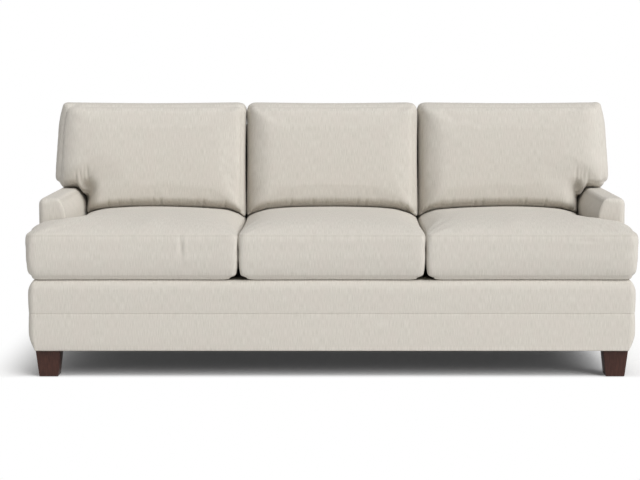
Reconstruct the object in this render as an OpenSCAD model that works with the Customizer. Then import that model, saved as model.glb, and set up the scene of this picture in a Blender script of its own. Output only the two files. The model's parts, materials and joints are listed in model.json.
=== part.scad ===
// Three-seat track arm sofa with loose seat and back cushions on a sprung timber frame.
// Millimetres. +Z is up, the front faces -Y, left and right are as seen from the front.
// The origin is on the floor, under the centre of the whole sofa.

/* [Overall] */
// Width of the upholstered base
base_w = 2134; // [1900:1:2400]
// Depth from the front of the seat cushions to the rear of the back
sofa_d = 920; // [860:1:1050]
// Height from the floor to the underside of the base
leg_h = 98; // [60:1:140]
// Height of the upholstered base, up to the seat deck
base_h = 249; // [215:1:300]

/* [Arms] */
// Height of the arms above the seat deck
arm_h = 276; // [235:1:330]
// Width of each arm
arm_w = 100; // [80:1:125]
// Distance from the front of the seat cushions to the front of the arms
arm_setback = 170; // [135:1:205]
// Distance that the outside of each arm stands in from the side of the base
arm_inset = 15; // [12:0.5:18]

/* [Back] */
// Height of the upholstered back above the seat deck
back_h = 509; // [440:1:600]
// Thickness of the upholstered back at its top
back_t = 95; // [75:1:115]
// Rake of the front of the back, in degrees
inside_rake = 11; // [9:0.5:13]
// Rake of the rear of the back, in degrees
outside_rake = 6; // [4.5:0.5:8]

/* [Upholstery] */
// Thickness of the padded bands around the base
border_pad = 24; // [20:0.5:29]
// Height of the lower band of the base, up to the horizontal seam
lower_band_h = 139; // [110:1:165]
// Radius of the roll along the top of the base
roll_r = 13; // [10:0.5:15]
// Radius of the two folds that meet at the horizontal seam
seam_r = 3; // [2:0.25:4]
// Thickness of the padding on the inside and top of the arms
arm_pad = 16; // [13:0.5:19]
// Radius along the top edges of the arms
arm_edge_r = 16; // [13:0.5:19]
// Thickness of the panels on the fronts of the arms
facing_t = 10; // [8:0.5:13]
// Thickness of the padding on the front and top of the back
back_pad = 10; // [8:0.5:12]
// Thickness of the fabric and board panel on the rear of the back
rear_panel_t = 8; // [6:0.5:10]
// Thickness of the cloth under the frame
dust_cover_t = 1; // [0.8:0.1:1.2]
// Thickness of the deck cloth
deck_cover_t = 2; // [1.5:0.1:2.5]
// Thickness of the felt pad under the deck cloth
deck_pad_t = 22; // [18:0.5:26]

/* [Frame] */
// Thickness of the rails
board_t = 25; // [20:0.5:30]
// Width of the back posts, seen from the front
post_w = 40; // [32:1:48]
// Distance of the cross rails and back ribs from the middle of the sofa
rib_x = 350; // [280:1:420]
// Height of the rail that holds the rear ends of the springs
spring_rail_h = 60; // [50:1:72]
// Thickness of the top rails of the arms
arm_rail_t = 30; // [24:1:36]
// Height of the lower rail of the back
back_lower_rail_h = 90; // [72:1:108]
// Height of the top rail of the back
back_top_rail_h = 45; // [36:1:54]
// Side of the square corner blocks
block_w = 80; // [66:1:96]
// Height of the corner blocks
block_h = 60; // [55:1:72]
// Diameter of the frame screws
screw_d = 5; // [4:0.25:6]
// Length of the frame screws
screw_l = 60; // [50:1:72]
// Diameter of the screw heads
screw_head_d = 9; // [7.5:0.25:11]
// Thickness of the screw heads
screw_head_t = 3; // [2.4:0.1:3.6]

/* [Springs] */
// Number of zigzag springs across the seat
spring_count = 12; // [9:1:14]
// Number of half waves along each spring
half_waves = 12; // [10:1:15]
// Thickness of the spring wire
wire_t = 4; // [3.2:0.1:4.8]
// Width of each spring
spring_w = 50; // [40:1:60]
// Width of the clips that hold the springs
clip_w = 16; // [13:0.5:19]
// Depth of the clips that hold the springs
clip_d = 20; // [16:0.5:24]
// Thickness of the clips above the wire
clip_t = 1.5; // [1.2:0.1:1.8]
// Diameter of the tie rods under the springs
tie_d = 3; // [2.4:0.1:3.6]
// Number of webbing straps in the back
strap_count = 12; // [9:1:14]
// Width of the webbing straps
strap_w = 50; // [40:1:60]
// Thickness of the webbing straps
strap_t = 2; // [1.6:0.1:2.4]

/* [Legs] */
// Side of the square legs at the top
leg_top_w = 87; // [72:1:100]
// Side of the square legs at the foot
leg_foot_w = 67; // [55:1:71]
// Distance of the legs from the sides, front and rear of the base
leg_inset = 22; // [18:1:27]
// Diameter of the glides under the legs
glide_d = 30; // [24:1:36]
// Thickness of the glides
glide_t = 2; // [1.6:0.1:2.4]
// Diameter of the pins of the glides
glide_pin_d = 5; // [4:0.25:6]
// Length of the pins of the glides
glide_pin_l = 15; // [12:0.5:18]
// Diameter of the studs that hold the legs
stud_d = 8; // [6.5:0.25:9.5]
// Length of stud inside each leg
stud_leg_l = 40; // [32:1:48]
// Length of stud inside each corner block
stud_block_l = 44; // [36:1:50]
// Outer diameter of the barrel of the leg nuts
nut_d = 12; // [10.5:0.25:14]
// Length of the barrel of the leg nuts
nut_l = 14; // [11:0.5:17]
// Diameter of the flange of the leg nuts
nut_flange_d = 22; // [18:0.5:26]
// Thickness of the flange of the leg nuts
nut_flange_t = 2; // [1.6:0.1:2.4]

/* [Seat cushions] */
// Width of the middle cushions, seam to seam
middle_w = 657; // [550:1:780]
// Distance that the seat cushions stand out past the front of the base
front_proud = 7; // [5:0.5:9]
// Distance that the seat cushions stand out past the sides of the base
side_proud = 6; // [4:0.5:8]
// Height of the boxing of the seat cushions
seat_boxing = 159; // [135:1:185]
// Height of the crown of the seat cushions
seat_crown = 48; // [40:1:57]
// Distance over which the crowns rise from their seams
dome_r = 170; // [145:1:200]
// Outward bulge of the boxing of all cushions
boxing_bulge = 8; // [6:0.5:9.5]
// Distance that the sides of the cushions draw in between their corners
side_pull = 4; // [3:0.25:5]
// Radius of the free corners of the cushions
cushion_corner_r = 28; // [24:0.5:33]
// Radius of the corners where cushions meet
inner_corner_r = 12; // [10:0.5:15]
// Radius of the notches that fit around the arms
notch_r = 2; // [1.6:0.1:2.4]
// Gap between each cushion and the middle of its seam
seam_gap = 1; // [0.8:0.1:1.5]
// Running clearance between the cushions and what carries them
rest_gap = 0.4; // [0.3:0.05:0.6]
// Distance of the foam cores from the outside of the cushions
core_inset = 20; // [17:0.5:24]

/* [Back cushions] */
// Thickness of the boxing of the back cushions
back_boxing = 180; // [150:1:215]
// Height of the crown of the back cushions
back_crown = 50; // [42:1:60]
// Height of the back cushions above the upholstered back
back_rise = 92; // [75:1:110]
// Distance that the ears of the back cushions stand in from the sides of the base
ear_inset = 10; // [8:0.5:12]
// Distance that the outer sides of the back cushions lean in towards their tops
ear_lean = 16; // [13:0.5:19]

/* [Zips] */
// Length of the zips
zip_l = 420; // [350:1:500]
// Width of the zips
zip_w = 12; // [10:0.5:14]
// Thickness of the zip tape
zip_t = 1.5; // [1.2:0.1:1.8]
// Width of the zip sliders
slider_w = 9; // [7.5:0.5:10]
// Length of the zip sliders
slider_l = 18; // [15:0.5:21]
// Thickness of the zip sliders
slider_t = 2; // [1.6:0.1:2.4]

/* [Hidden] */

// Colours
fabric_color = "#CEC9BF";
lining_color = "#A9A49A";
frame_color = "#C9A878";
leg_color = "#472F2A";
steel_color = "#A8ABAE";
foam_color = "#E8DFC0";
felt_color = "#8E8C88";

// Overrun of cutting shapes past the solids that they cut
cut = 1;
// Radial clearance of studs, screws and pins in their holes
fit = 0.1;
// Sides of the round fasteners
$fn = 32;

// Levels
frame_z = leg_h + dust_cover_t;
deck_z = leg_h + base_h;
rail_z = deck_z - deck_cover_t - deck_pad_t - clip_t - wire_t;
clip_z = rail_z + wire_t + clip_t;
seam_z = leg_h + lower_band_h;
arm_z = deck_z + arm_h;
arm_frame_z = arm_z - arm_pad;
back_z = deck_z + back_h;
back_frame_z = back_z - back_pad;
lower_rail_z = deck_z + back_lower_rail_h;
top_rail_z = back_frame_z - back_top_rail_h;
spring_rail_z = rail_z - spring_rail_h;
seat_z = deck_z + rest_gap;
seat_seam_z = seat_z + seat_boxing;
seat_top_z = seat_seam_z + seat_crown;
cushion_z = seat_top_z + rest_gap;
cushion_top_z = back_z + back_rise;

// Places across the width, measured from the middle
base_x = base_w / 2;
frame_x = base_x - border_pad;
arm_x = base_x - arm_inset;
arm_in_x = arm_x - arm_w;
arm_frame_in_x = arm_in_x + arm_pad;
rail_in_x = frame_x - board_t;
post_in_x = frame_x - post_w;
block_in_x = rail_in_x - block_w;
leg_x = base_x - leg_inset - leg_top_w / 2;
seam_x = middle_w / 2;

// Places along the depth
cushion_y = -sofa_d / 2;
base_y = cushion_y + front_proud;
frame_y = base_y + border_pad;
rail_rear_y = frame_y + board_t;
arm_y = cushion_y + arm_setback;
arm_frame_y = arm_y + facing_t;
leg_front_y = base_y + leg_inset + leg_top_w / 2;
leg_back_y = outside_y(leg_h) - leg_inset - leg_top_w / 2;
deck_rear_y = frame_front_y(deck_z);
seat_rear_y = inside_y(deck_z) - rest_gap;
spring_rail_y = inside_y(deck_z) - board_t;
spring_start_y = frame_y + board_t / 2;
spring_end_y = spring_rail_y + board_t / 2;

// Front of the upholstered back at height z
function inside_y(z) = sofa_d / 2 - back_t - (back_z - z) * tan(inside_rake);
// Rear of the upholstered back at height z
function outside_y(z) = sofa_d / 2 - (back_z - z) * tan(outside_rake);
// Front of the back frame at height z
function frame_front_y(z) = inside_y(z) + back_pad + strap_t;
// Rear of the back frame at height z
function frame_rear_y(z) = outside_y(z) - rear_panel_t;
// Front of the rear rail at height z
function rear_rail_y(z) = frame_rear_y(z) - board_t;

// Children for the left side as drawn, and mirrored for the right side
module on_side(side) {
    if (side > 0)
        mirror([1, 0, 0]) children();
    else
        children();
}

module on_both_sides() {
    for (side = [-1, 1])
        on_side(side) children();
}

// Board with a profile of [y, z] points, from x1 to x2
module board_yz(points, x1, x2) {
    translate([x1, 0, 0])
        rotate([90, 0, 90])
            linear_extrude(height = x2 - x1)
                polygon(points);
}

// Board with a 2D profile in x and z, from y1 to y2
module panel_xz(y1, y2) {
    translate([0, y2, 0])
        rotate([90, 0, 0])
            linear_extrude(height = y2 - y1)
                children();
}

module block(low, high) {
    translate(low)
        cube(high - low);
}

// Round bar along y
module bar_y(x, y1, y2, z, d) {
    translate([x, y1, z])
        rotate([-90, 0, 0])
            cylinder(d = d, h = y2 - y1);
}

// Frame

screw_height_shares = [0.25, 0.75];

function screw_z(share) = frame_z + (rail_z - frame_z) * share;
function rear_screw_y(z) = frame_rear_y(z) - screw_head_t;

// Screws through the front and rear rails into the side rails
module frame_screws(gap = 0, head_run = 0) {
    x = frame_x - board_t / 2;
    color(steel_color)
        on_both_sides()
            for (share = screw_height_shares) {
                z = screw_z(share);
                y1 = frame_y + screw_head_t;
                y2 = rear_screw_y(z - screw_head_d / 2);
                bar_y(-x, y1 - gap, frame_y + screw_l + gap, z, screw_d + 2 * gap);
                bar_y(-x, frame_y - head_run, y1 + gap, z, screw_head_d + 2 * gap);
                bar_y(-x, y2 - screw_l, y2 + gap, z, screw_d + 2 * gap);
                bar_y(-x, y2 - gap, y2 + screw_head_t + head_run, z, screw_head_d + 2 * gap);
            }
}

module front_rail() {
    color(frame_color)
        difference() {
            block([-frame_x, frame_y, frame_z], [frame_x, rail_rear_y, rail_z]);
            frame_screws(fit, cut);
        }
}

module rear_rail() {
    color(frame_color)
        difference() {
            board_yz([
                [rear_rail_y(frame_z), frame_z], [frame_rear_y(frame_z), frame_z],
                [frame_rear_y(rail_z), rail_z], [rear_rail_y(rail_z), rail_z],
            ], -frame_x, frame_x);
            frame_screws(fit, board_t);
        }
}

module side_rail(side) {
    color(frame_color)
        on_side(side)
            difference() {
                board_yz([
                    [rail_rear_y, frame_z], [rear_rail_y(frame_z), frame_z],
                    [rear_rail_y(rail_z), rail_z], [rail_rear_y, rail_z],
                ], -frame_x, -rail_in_x);
                frame_screws(fit);
            }
}

module spring_rail() {
    color(frame_color)
        block([-rail_in_x, spring_rail_y, spring_rail_z], [rail_in_x, spring_rail_y + board_t, rail_z]);
}

module cross_rails() {
    color(frame_color)
        on_both_sides()
            board_yz([
                [rail_rear_y, frame_z], [rear_rail_y(frame_z), frame_z],
                [rear_rail_y(spring_rail_z), spring_rail_z], [rail_rear_y, spring_rail_z],
            ], -rib_x - board_t / 2, -rib_x + board_t / 2);
}

module corner_blocks() {
    color(frame_color)
        difference() {
            on_both_sides() {
                block([-rail_in_x, rail_rear_y, frame_z], [-block_in_x, rail_rear_y + block_w, frame_z + block_h]);
                block([-rail_in_x, rear_rail_y(frame_z) - block_w, frame_z],
                    [-block_in_x, rear_rail_y(frame_z), frame_z + block_h]);
            }
            at_legs() {
                translate([0, 0, frame_z - cut])
                    cylinder(d = stud_d + 2 * fit, h = stud_block_l + cut + fit);
                translate([0, 0, frame_z - cut])
                    cylinder(d = nut_d + 2 * fit, h = nut_l + cut + fit);
                translate([0, 0, frame_z - cut])
                    cylinder(d = nut_flange_d + 2 * fit, h = nut_flange_t + cut + fit);
            }
        }
}

module back_post(side) {
    color(frame_color)
        on_side(side)
            board_yz([
                [deck_rear_y, rail_z], [frame_rear_y(rail_z), rail_z],
                [frame_rear_y(back_frame_z), back_frame_z],
                [frame_front_y(back_frame_z), back_frame_z], [deck_rear_y, deck_z],
            ], -frame_x, -post_in_x);
}

module back_ribs() {
    color(frame_color)
        on_both_sides()
            board_yz([
                [deck_rear_y + board_t, rail_z], [frame_rear_y(rail_z), rail_z],
                [frame_rear_y(top_rail_z), top_rail_z], [frame_front_y(top_rail_z), top_rail_z],
                [frame_front_y(lower_rail_z), lower_rail_z],
                [frame_front_y(lower_rail_z) + board_t, lower_rail_z], [deck_rear_y + board_t, deck_z],
            ], -rib_x - board_t / 2, -rib_x + board_t / 2);
}

module back_top_rail() {
    color(frame_color)
        board_yz([
            [frame_front_y(top_rail_z), top_rail_z], [frame_rear_y(top_rail_z), top_rail_z],
            [frame_rear_y(back_frame_z), back_frame_z], [frame_front_y(back_frame_z), back_frame_z],
        ], -post_in_x, post_in_x);
}

module back_lower_rail() {
    color(frame_color)
        board_yz([
            [deck_rear_y, deck_z], [deck_rear_y + board_t, deck_z],
            [frame_front_y(lower_rail_z) + board_t, lower_rail_z],
            [frame_front_y(lower_rail_z), lower_rail_z],
        ], -post_in_x, post_in_x);
}

// Post at the front of each arm, with a tongue down the inside of the side rail
module arm_post(side) {
    color(frame_color)
        on_side(side) {
            block([-frame_x, arm_frame_y, rail_z], [-arm_frame_in_x, arm_frame_y + board_t, arm_frame_z]);
            block([-rail_in_x, arm_frame_y, frame_z], [-arm_frame_in_x, arm_frame_y + board_t, rail_z]);
        }
}

module arm_top_rail(side) {
    low_z = arm_frame_z - arm_rail_t;
    color(frame_color)
        on_side(side)
            board_yz([
                [arm_frame_y + board_t, low_z], [frame_front_y(low_z), low_z],
                [frame_front_y(arm_frame_z), arm_frame_z], [arm_frame_y + board_t, arm_frame_z],
            ], -frame_x, -arm_frame_in_x);
}

module arm_lower_rails() {
    color(frame_color)
        on_both_sides()
            block([-frame_x, arm_frame_y + board_t, rail_z], [-arm_frame_in_x, deck_rear_y, rail_z + board_t]);
}

// Springs and webbing

spring_span = 2 * arm_in_x / spring_count;
spring_pitch = (spring_end_y - spring_start_y) / half_waves;
tie_place_shares = [0.33, 0.67];

function spring_x(i) = (i + 0.5) * spring_span - arm_in_x;

module flat_spring() {
    linear_extrude(height = wire_t)
        for (k = [0 : half_waves]) {
            translate([-spring_w / 2, k * spring_pitch - wire_t / 2])
                square([spring_w, wire_t]);
            if (k < half_waves)
                translate([k % 2 == 0 ? spring_w / 2 - wire_t : -spring_w / 2, k * spring_pitch])
                    square([wire_t, spring_pitch]);
        }
}

module seat_springs() {
    color(steel_color)
        for (i = [0 : spring_count - 1])
            translate([spring_x(i), spring_start_y, rail_z])
                flat_spring();
}

module spring_clips() {
    color(steel_color)
        for (i = [0 : spring_count - 1], y = [spring_start_y, spring_end_y])
            translate([spring_x(i), y, rail_z])
                difference() {
                    block([-clip_w / 2, -clip_d / 2, 0], [clip_w / 2, clip_d / 2, wire_t + clip_t]);
                    block([-clip_w, -wire_t / 2 - fit, -cut], [clip_w, wire_t / 2 + fit, wire_t + fit]);
                }
}

module spring_ties() {
    reach = spring_x(spring_count - 1) + spring_w / 2;
    color(steel_color)
        for (share = tie_place_shares)
            translate([-reach, spring_start_y + share * (spring_end_y - spring_start_y), rail_z - tie_d / 2])
                rotate([0, 90, 0])
                    cylinder(d = tie_d, h = 2 * reach);
}

module back_webbing() {
    pitch = 2 * (arm_in_x - strap_w / 2) / strap_count;
    color(felt_color)
        for (i = [0 : strap_count - 1])
            translate([(i + 0.5) * pitch - strap_count * pitch / 2, 0, 0])
                board_yz([
                    [frame_front_y(deck_z) - strap_t, deck_z], [frame_front_y(deck_z), deck_z],
                    [frame_front_y(back_frame_z), back_frame_z],
                    [frame_front_y(back_frame_z) - strap_t, back_frame_z],
                ], -strap_w / 2, strap_w / 2);
}

// Upholstery

// Plan of the seat deck: wide in front of the arms and narrow between them
module deck_plan() {
    polygon([
        [-frame_x, frame_y], [frame_x, frame_y], [frame_x, arm_frame_y], [arm_in_x, arm_frame_y],
        [arm_in_x, deck_rear_y], [-arm_in_x, deck_rear_y], [-arm_in_x, arm_frame_y],
        [-frame_x, arm_frame_y],
    ]);
}

module deck_pad() {
    color(felt_color)
        translate([0, 0, clip_z])
            linear_extrude(height = deck_pad_t)
                deck_plan();
}

module deck_cover() {
    color(lining_color)
        translate([0, 0, clip_z + deck_pad_t])
            linear_extrude(height = deck_cover_t)
                deck_plan();
}

// Front, top and upper sides of the back in one cover
module inside_back() {
    sheet = [
        [inside_y(deck_z), deck_z], [inside_y(deck_z) + back_pad, deck_z],
        [inside_y(back_frame_z) + back_pad, back_frame_z], [outside_y(back_frame_z), back_frame_z],
        [outside_y(back_z), back_z], [inside_y(back_z), back_z],
    ];
    color(fabric_color) {
        difference() {
            board_yz(sheet, -arm_x, arm_x);
            on_both_sides()
                block([-arm_x - cut, inside_y(deck_z) - cut, deck_z - cut], [-arm_in_x, sofa_d / 2, arm_z]);
        }
        on_both_sides()
            board_yz([
                [inside_y(arm_z), arm_z], [frame_rear_y(arm_z), arm_z],
                [frame_rear_y(back_frame_z), back_frame_z], [inside_y(back_frame_z), back_frame_z],
            ], -arm_x, -frame_x);
    }
}

module outside_back() {
    color(fabric_color)
        board_yz([
            [frame_rear_y(leg_h), leg_h], [outside_y(leg_h), leg_h],
            [outside_y(back_frame_z), back_frame_z], [frame_rear_y(back_frame_z), back_frame_z],
        ], -arm_x, arm_x);
}

module outside_arm(side) {
    color(fabric_color)
        on_side(side)
            board_yz([
                [arm_y, leg_h], [frame_rear_y(leg_h), leg_h], [frame_rear_y(arm_z), arm_z],
                [frame_front_y(arm_z), arm_z], [frame_front_y(arm_frame_z), arm_frame_z],
                [arm_frame_y, arm_frame_z], [arm_frame_y, deck_z], [arm_y, deck_z],
            ], -arm_x, -frame_x);
}

// Outline of an arm seen from the front, with rounded top edges
module arm_outline(low_z) {
    difference() {
        translate([-arm_x, low_z])
            square([arm_w, arm_z - low_z]);
        for (x = [-arm_x, -arm_in_x])
            translate([x, arm_z])
                difference() {
                    square(2 * arm_edge_r, center = true);
                    translate([x < -arm_x + arm_w / 2 ? arm_edge_r : -arm_edge_r, -arm_edge_r])
                        circle(r = arm_edge_r);
                    translate([x < -arm_x + arm_w / 2 ? arm_edge_r : -2 * arm_edge_r, -arm_edge_r])
                        square([arm_edge_r, 2 * arm_edge_r]);
                    translate([-arm_edge_r, -2 * arm_edge_r])
                        square([2 * arm_edge_r, arm_edge_r]);
                }
    }
}

// Padding and fabric over the inside and top of each arm
module arm_cover(side) {
    color(fabric_color)
        on_side(side)
            intersection() {
                panel_xz(arm_frame_y, sofa_d / 2)
                    difference() {
                        arm_outline(rail_z);
                        translate([-arm_x - cut, rail_z - cut])
                            square([arm_w - arm_pad + cut, arm_frame_z - rail_z + cut]);
                    }
                board_yz([
                    [arm_frame_y - cut, rail_z - cut], [deck_rear_y, rail_z - cut], [deck_rear_y, deck_z],
                    [frame_front_y(arm_z + cut), arm_z + cut], [arm_frame_y - cut, arm_z + cut],
                ], -arm_x - cut, -arm_in_x + cut);
            }
}

module arm_front(side) {
    color(fabric_color)
        on_side(side)
            panel_xz(arm_y, arm_frame_y)
                arm_outline(deck_z);
}

// Cross-section of a band, with its inner face at x = 0
module band_profile(low_z, high_z, low_r, high_r) {
    difference() {
        translate([0, low_z])
            square([border_pad, high_z - low_z]);
        translate([border_pad, high_z])
            rounding(high_r, -1);
        translate([border_pad, low_z])
            rounding(low_r, 1);
    }
}

// Waste outside a quarter round whose corner is at the origin, above (1) or below (-1) it
module rounding(r, up) {
    difference() {
        translate([-r, up > 0 ? -cut : -r])
            square([r + cut, r + cut]);
        translate([-r, up * r])
            circle(r = r);
    }
}

// Band around the front of the base that returns along the sides to the arms, round at its corners
module band(low_z, high_z, low_r, high_r) {
    back_run = arm_y - frame_y;
    on_both_sides()
        translate([-frame_x, frame_y, 0]) {
            rotate([0, 0, 180])
                rotate_extrude(angle = 90)
                    band_profile(low_z, high_z, low_r, high_r);
            translate([0, back_run, 0])
                rotate([90, 0, 0])
                    linear_extrude(height = back_run)
                        mirror([1, 0])
                            band_profile(low_z, high_z, low_r, high_r);
        }
    translate([-frame_x, frame_y, 0])
        rotate([90, 0, 90])
            linear_extrude(height = 2 * frame_x)
                mirror([1, 0])
                    band_profile(low_z, high_z, low_r, high_r);
}

module border_upper() {
    color(fabric_color)
        band(seam_z, deck_z, seam_r, roll_r);
}

module border_lower() {
    color(fabric_color)
        band(leg_h, seam_z, seam_r, seam_r);
}

module dust_cover() {
    color(felt_color)
        difference() {
            block([-frame_x, frame_y, leg_h], [frame_x, frame_rear_y(leg_h), frame_z]);
            at_legs()
                translate([0, 0, leg_h - cut])
                    cylinder(d = stud_d + 2 * fit, h = dust_cover_t + 2 * cut);
        }
}

// Legs

module at_legs() {
    for (x = [-leg_x, leg_x], y = [leg_front_y, leg_back_y])
        translate([x, y, 0])
            children();
}

// Taper of a leg seen from one side
module leg_profile() {
    polygon([
        [-leg_foot_w / 2, glide_t], [leg_foot_w / 2, glide_t],
        [leg_top_w / 2, leg_h], [-leg_top_w / 2, leg_h],
    ]);
}

module leg(x, y) {
    color(leg_color)
        translate([x, y, 0])
            difference() {
                intersection() {
                    panel_xz(-leg_top_w / 2, leg_top_w / 2)
                        leg_profile();
                    rotate([0, 0, 90])
                        panel_xz(-leg_top_w / 2, leg_top_w / 2)
                            leg_profile();
                }
                translate([0, 0, leg_h - stud_leg_l - fit])
                    cylinder(d = stud_d + 2 * fit, h = stud_leg_l + cut);
                translate([0, 0, glide_t - cut])
                    cylinder(d = glide_pin_d + 2 * fit, h = glide_pin_l + cut + fit);
            }
}

module leg_studs() {
    color(steel_color)
        at_legs()
            translate([0, 0, leg_h - stud_leg_l])
                cylinder(d = stud_d, h = stud_leg_l + dust_cover_t + stud_block_l);
}

module leg_nuts() {
    color(steel_color)
        at_legs()
            translate([0, 0, frame_z])
                difference() {
                    union() {
                        cylinder(d = nut_flange_d, h = nut_flange_t);
                        cylinder(d = nut_d, h = nut_l);
                    }
                    translate([0, 0, -cut])
                        cylinder(d = stud_d + 2 * fit, h = nut_l + 2 * cut);
                }
}

module leg_glides() {
    color(felt_color)
        at_legs() {
            cylinder(d = glide_d, h = glide_t);
            cylinder(d = glide_pin_d, h = glide_t + glide_pin_l);
        }
}

// Cushion forms

// Shares of the boxing, from seam to seam, at which the boxing has a ring of points
boxing_shares = [0, 0.03, 0.1, 0.25, 0.5, 0.85, 1];
// Shares of the bulge that these rings stand in from the fullest one
ring_inset_shares = [2.6, 1.5, 0.85, 0.3, 0, 0.1, 0.5];
// Shares of the seam outline at which the crown has a ring of points
crown_shares = [0.985, 0.96, 0.92, 0.86, 0.76, 0.6, 0.4, 0.2];
corner_steps = 3;

// Points of a quarter round at corner p, between its neighbours a and b
function fillet(a, p, b, r) =
    let (u = (a - p) / norm(a - p), v = (b - p) / norm(b - p), c = p + r * (u + v))
    [for (k = [0 : corner_steps]) let (t = 90 * k / corner_steps) c - r * (v * cos(t) + u * sin(t))];

// Points between two rounded corners, drawn in most at the middle
function side_points(p, q, rp, rq, n, pull) =
    let (len = norm(q - p), v = (q - p) / len, w = [-v[1], v[0]])
    [for (k = [1 : n]) let (s = k / (n + 1)) p + v * (rp + s * (len - rp - rq)) + w * pull * sin(180 * s)];

// Anticlockwise outline through corners of [x, y, radius, points on the next side, its pull]
function outline(corners) =
    let (n = len(corners), at = function (i) let (c = corners[(i + n) % n]) [c[0], c[1]])
    [for (i = [0 : n - 1])
        each concat(
            fillet(at(i - 1), at(i), at(i + 1), corners[i][2]),
            side_points(at(i), at(i + 1), corners[i][2], corners[(i + 1) % n][2], corners[i][3], corners[i][4])
        )
    ];

// Anticlockwise outline moved inwards by d
function inset(points, d) =
    let (n = len(points))
    [for (i = [0 : n - 1])
        let (p = points[i], a = p - points[(i + n - 1) % n], b = points[(i + 1) % n] - p,
            m = [-a[1], a[0]] / norm(a), k = [-b[1], b[0]] / norm(b))
        p + d * (m + k) / (1 + m * k)
    ];

// Distance of point p from an outline
function edge_distance(p, points) =
    let (n = len(points))
    min([for (i = [0 : n - 1])
        let (a = points[i], b = points[(i + 1) % n], s = (p - a) * (b - a) / ((b - a) * (b - a)))
        norm(p - a - min(max(s, 0), 1) * (b - a))
    ]);

// Height of a crown at distance d from its seam
function crown_height(d, crown) = crown * sqrt(1 - pow(1 - min(d / dome_r, 1), 2));

function plain_points(corners) = [for (c = corners) [c[0], c[1]]];

// Outline whose corners are all moved inwards by d, with their radii kept
function ring(corners, d) =
    let (moved = inset(plain_points(corners), d))
    outline([for (i = [0 : len(corners) - 1])
        [moved[i][0], moved[i][1], corners[i][2], corners[i][3], corners[i][4]]
    ]);

// Rings of [x, y, height] points, from the flat end over the boxing to the middle of the crown
function cushion_rings(corners, boxing, crown, middle) =
    let (last = len(boxing_shares) - 1, seam = ring(corners, boxing_bulge * ring_inset_shares[last]))
    concat(
        [for (i = [0 : last])
            [for (p = ring(corners, boxing_bulge * ring_inset_shares[i]))
                [p[0], p[1], boxing_shares[i] * boxing]
            ]
        ],
        [for (s = crown_shares)
            [for (q = seam)
                let (p = middle + s * (q - middle))
                [p[0], p[1], boxing + crown_height(edge_distance(p, seam), crown)]
            ]
        ]
    );

// Closed form through the rings, with a middle point on each end
module cushion_form(rings, middle, boxing, crown, place) {
    n = len(rings[0]);
    m = len(rings);
    points = [for (ring = rings, p = ring) place(p)];
    ends = [place([middle[0], middle[1], 0]), place([middle[0], middle[1], boxing + crown])];
    walls = [for (r = [0 : m - 2], i = [0 : n - 1])
        let (a = r * n + i, b = r * n + (i + 1) % n)
        each [[a, a + n, b], [b, a + n, b + n]]
    ];
    caps = [for (i = [0 : n - 1])
        let (j = (i + 1) % n)
        each [[m * n, i, j], [m * n + 1, (m - 1) * n + j, (m - 1) * n + i]]
    ];
    polyhedron(points = concat(points, ends), faces = concat(walls, caps));
}

// Seat cushions

seat_in_x = -seam_x - seam_gap;
seat_out_x = -base_x - side_proud;
seat_side_x = -arm_in_x + seam_gap;
seat_ear_y = arm_y - seam_gap;

// Corners of the left cushion, with an ear in front of the arm
seat_left_corners = [
    [seat_out_x, cushion_y, cushion_corner_r, 5, side_pull],
    [seat_in_x, cushion_y, inner_corner_r, 4, side_pull],
    [seat_in_x, seat_rear_y, inner_corner_r, 4, 0],
    [seat_side_x, seat_rear_y, inner_corner_r, 4, side_pull],
    [seat_side_x, seat_ear_y, notch_r, 1, 0],
    [seat_out_x, seat_ear_y, cushion_corner_r, 2, side_pull],
];
seat_center_corners = [
    [seat_in_x + 2 * seam_gap, cushion_y, inner_corner_r, 4, side_pull],
    [-seat_in_x - 2 * seam_gap, cushion_y, inner_corner_r, 4, side_pull],
    [-seat_in_x - 2 * seam_gap, seat_rear_y, inner_corner_r, 4, 0],
    [seat_in_x + 2 * seam_gap, seat_rear_y, inner_corner_r, 4, side_pull],
];

seat_left_middle = [(seat_side_x + seat_in_x) / 2, (cushion_y + seat_ear_y) / 2];
seat_center_middle = [0, 0];

function seat_place(p) = [p[0], p[1], seat_z + p[2]];

// Zip on the rear of a seat cushion, or the groove that it lies in
module seat_zip(x, gap = 0, run = 0) {
    z = seat_z + seat_boxing / 2;
    y = seat_rear_y - zip_t - slider_t;
    color(lining_color) {
        block([x - zip_l / 2 - gap, y, z - zip_w / 2 - gap],
            [x + zip_l / 2 + gap, y + zip_t + run, z + zip_w / 2 + gap]);
        if (run == 0)
            block([x + zip_l / 2 - slider_l, y + zip_t, z - slider_w / 2],
                [x + zip_l / 2, y + zip_t + slider_t, z + slider_w / 2]);
    }
}

module seat_core(corners) {
    color(foam_color)
        translate([0, 0, seat_z + core_inset])
            linear_extrude(height = seat_boxing - core_inset)
                polygon(inset(plain_points(corners), core_inset));
}

module seat_cover(corners, middle, zip_x) {
    color(fabric_color)
        difference() {
            cushion_form(
                cushion_rings(corners, seat_boxing, seat_crown, middle), middle,
                seat_boxing, seat_crown, function (p) seat_place(p)
            );
            seat_core(corners);
            seat_zip(zip_x, fit, slider_t + cut);
        }
}

// Back cushions

back_in_x = -seam_x - seam_gap;
back_out_x = -base_x + ear_inset;
back_side_x = -arm_in_x + seam_gap * 2;
back_ear_z = arm_z + rest_gap;

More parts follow.
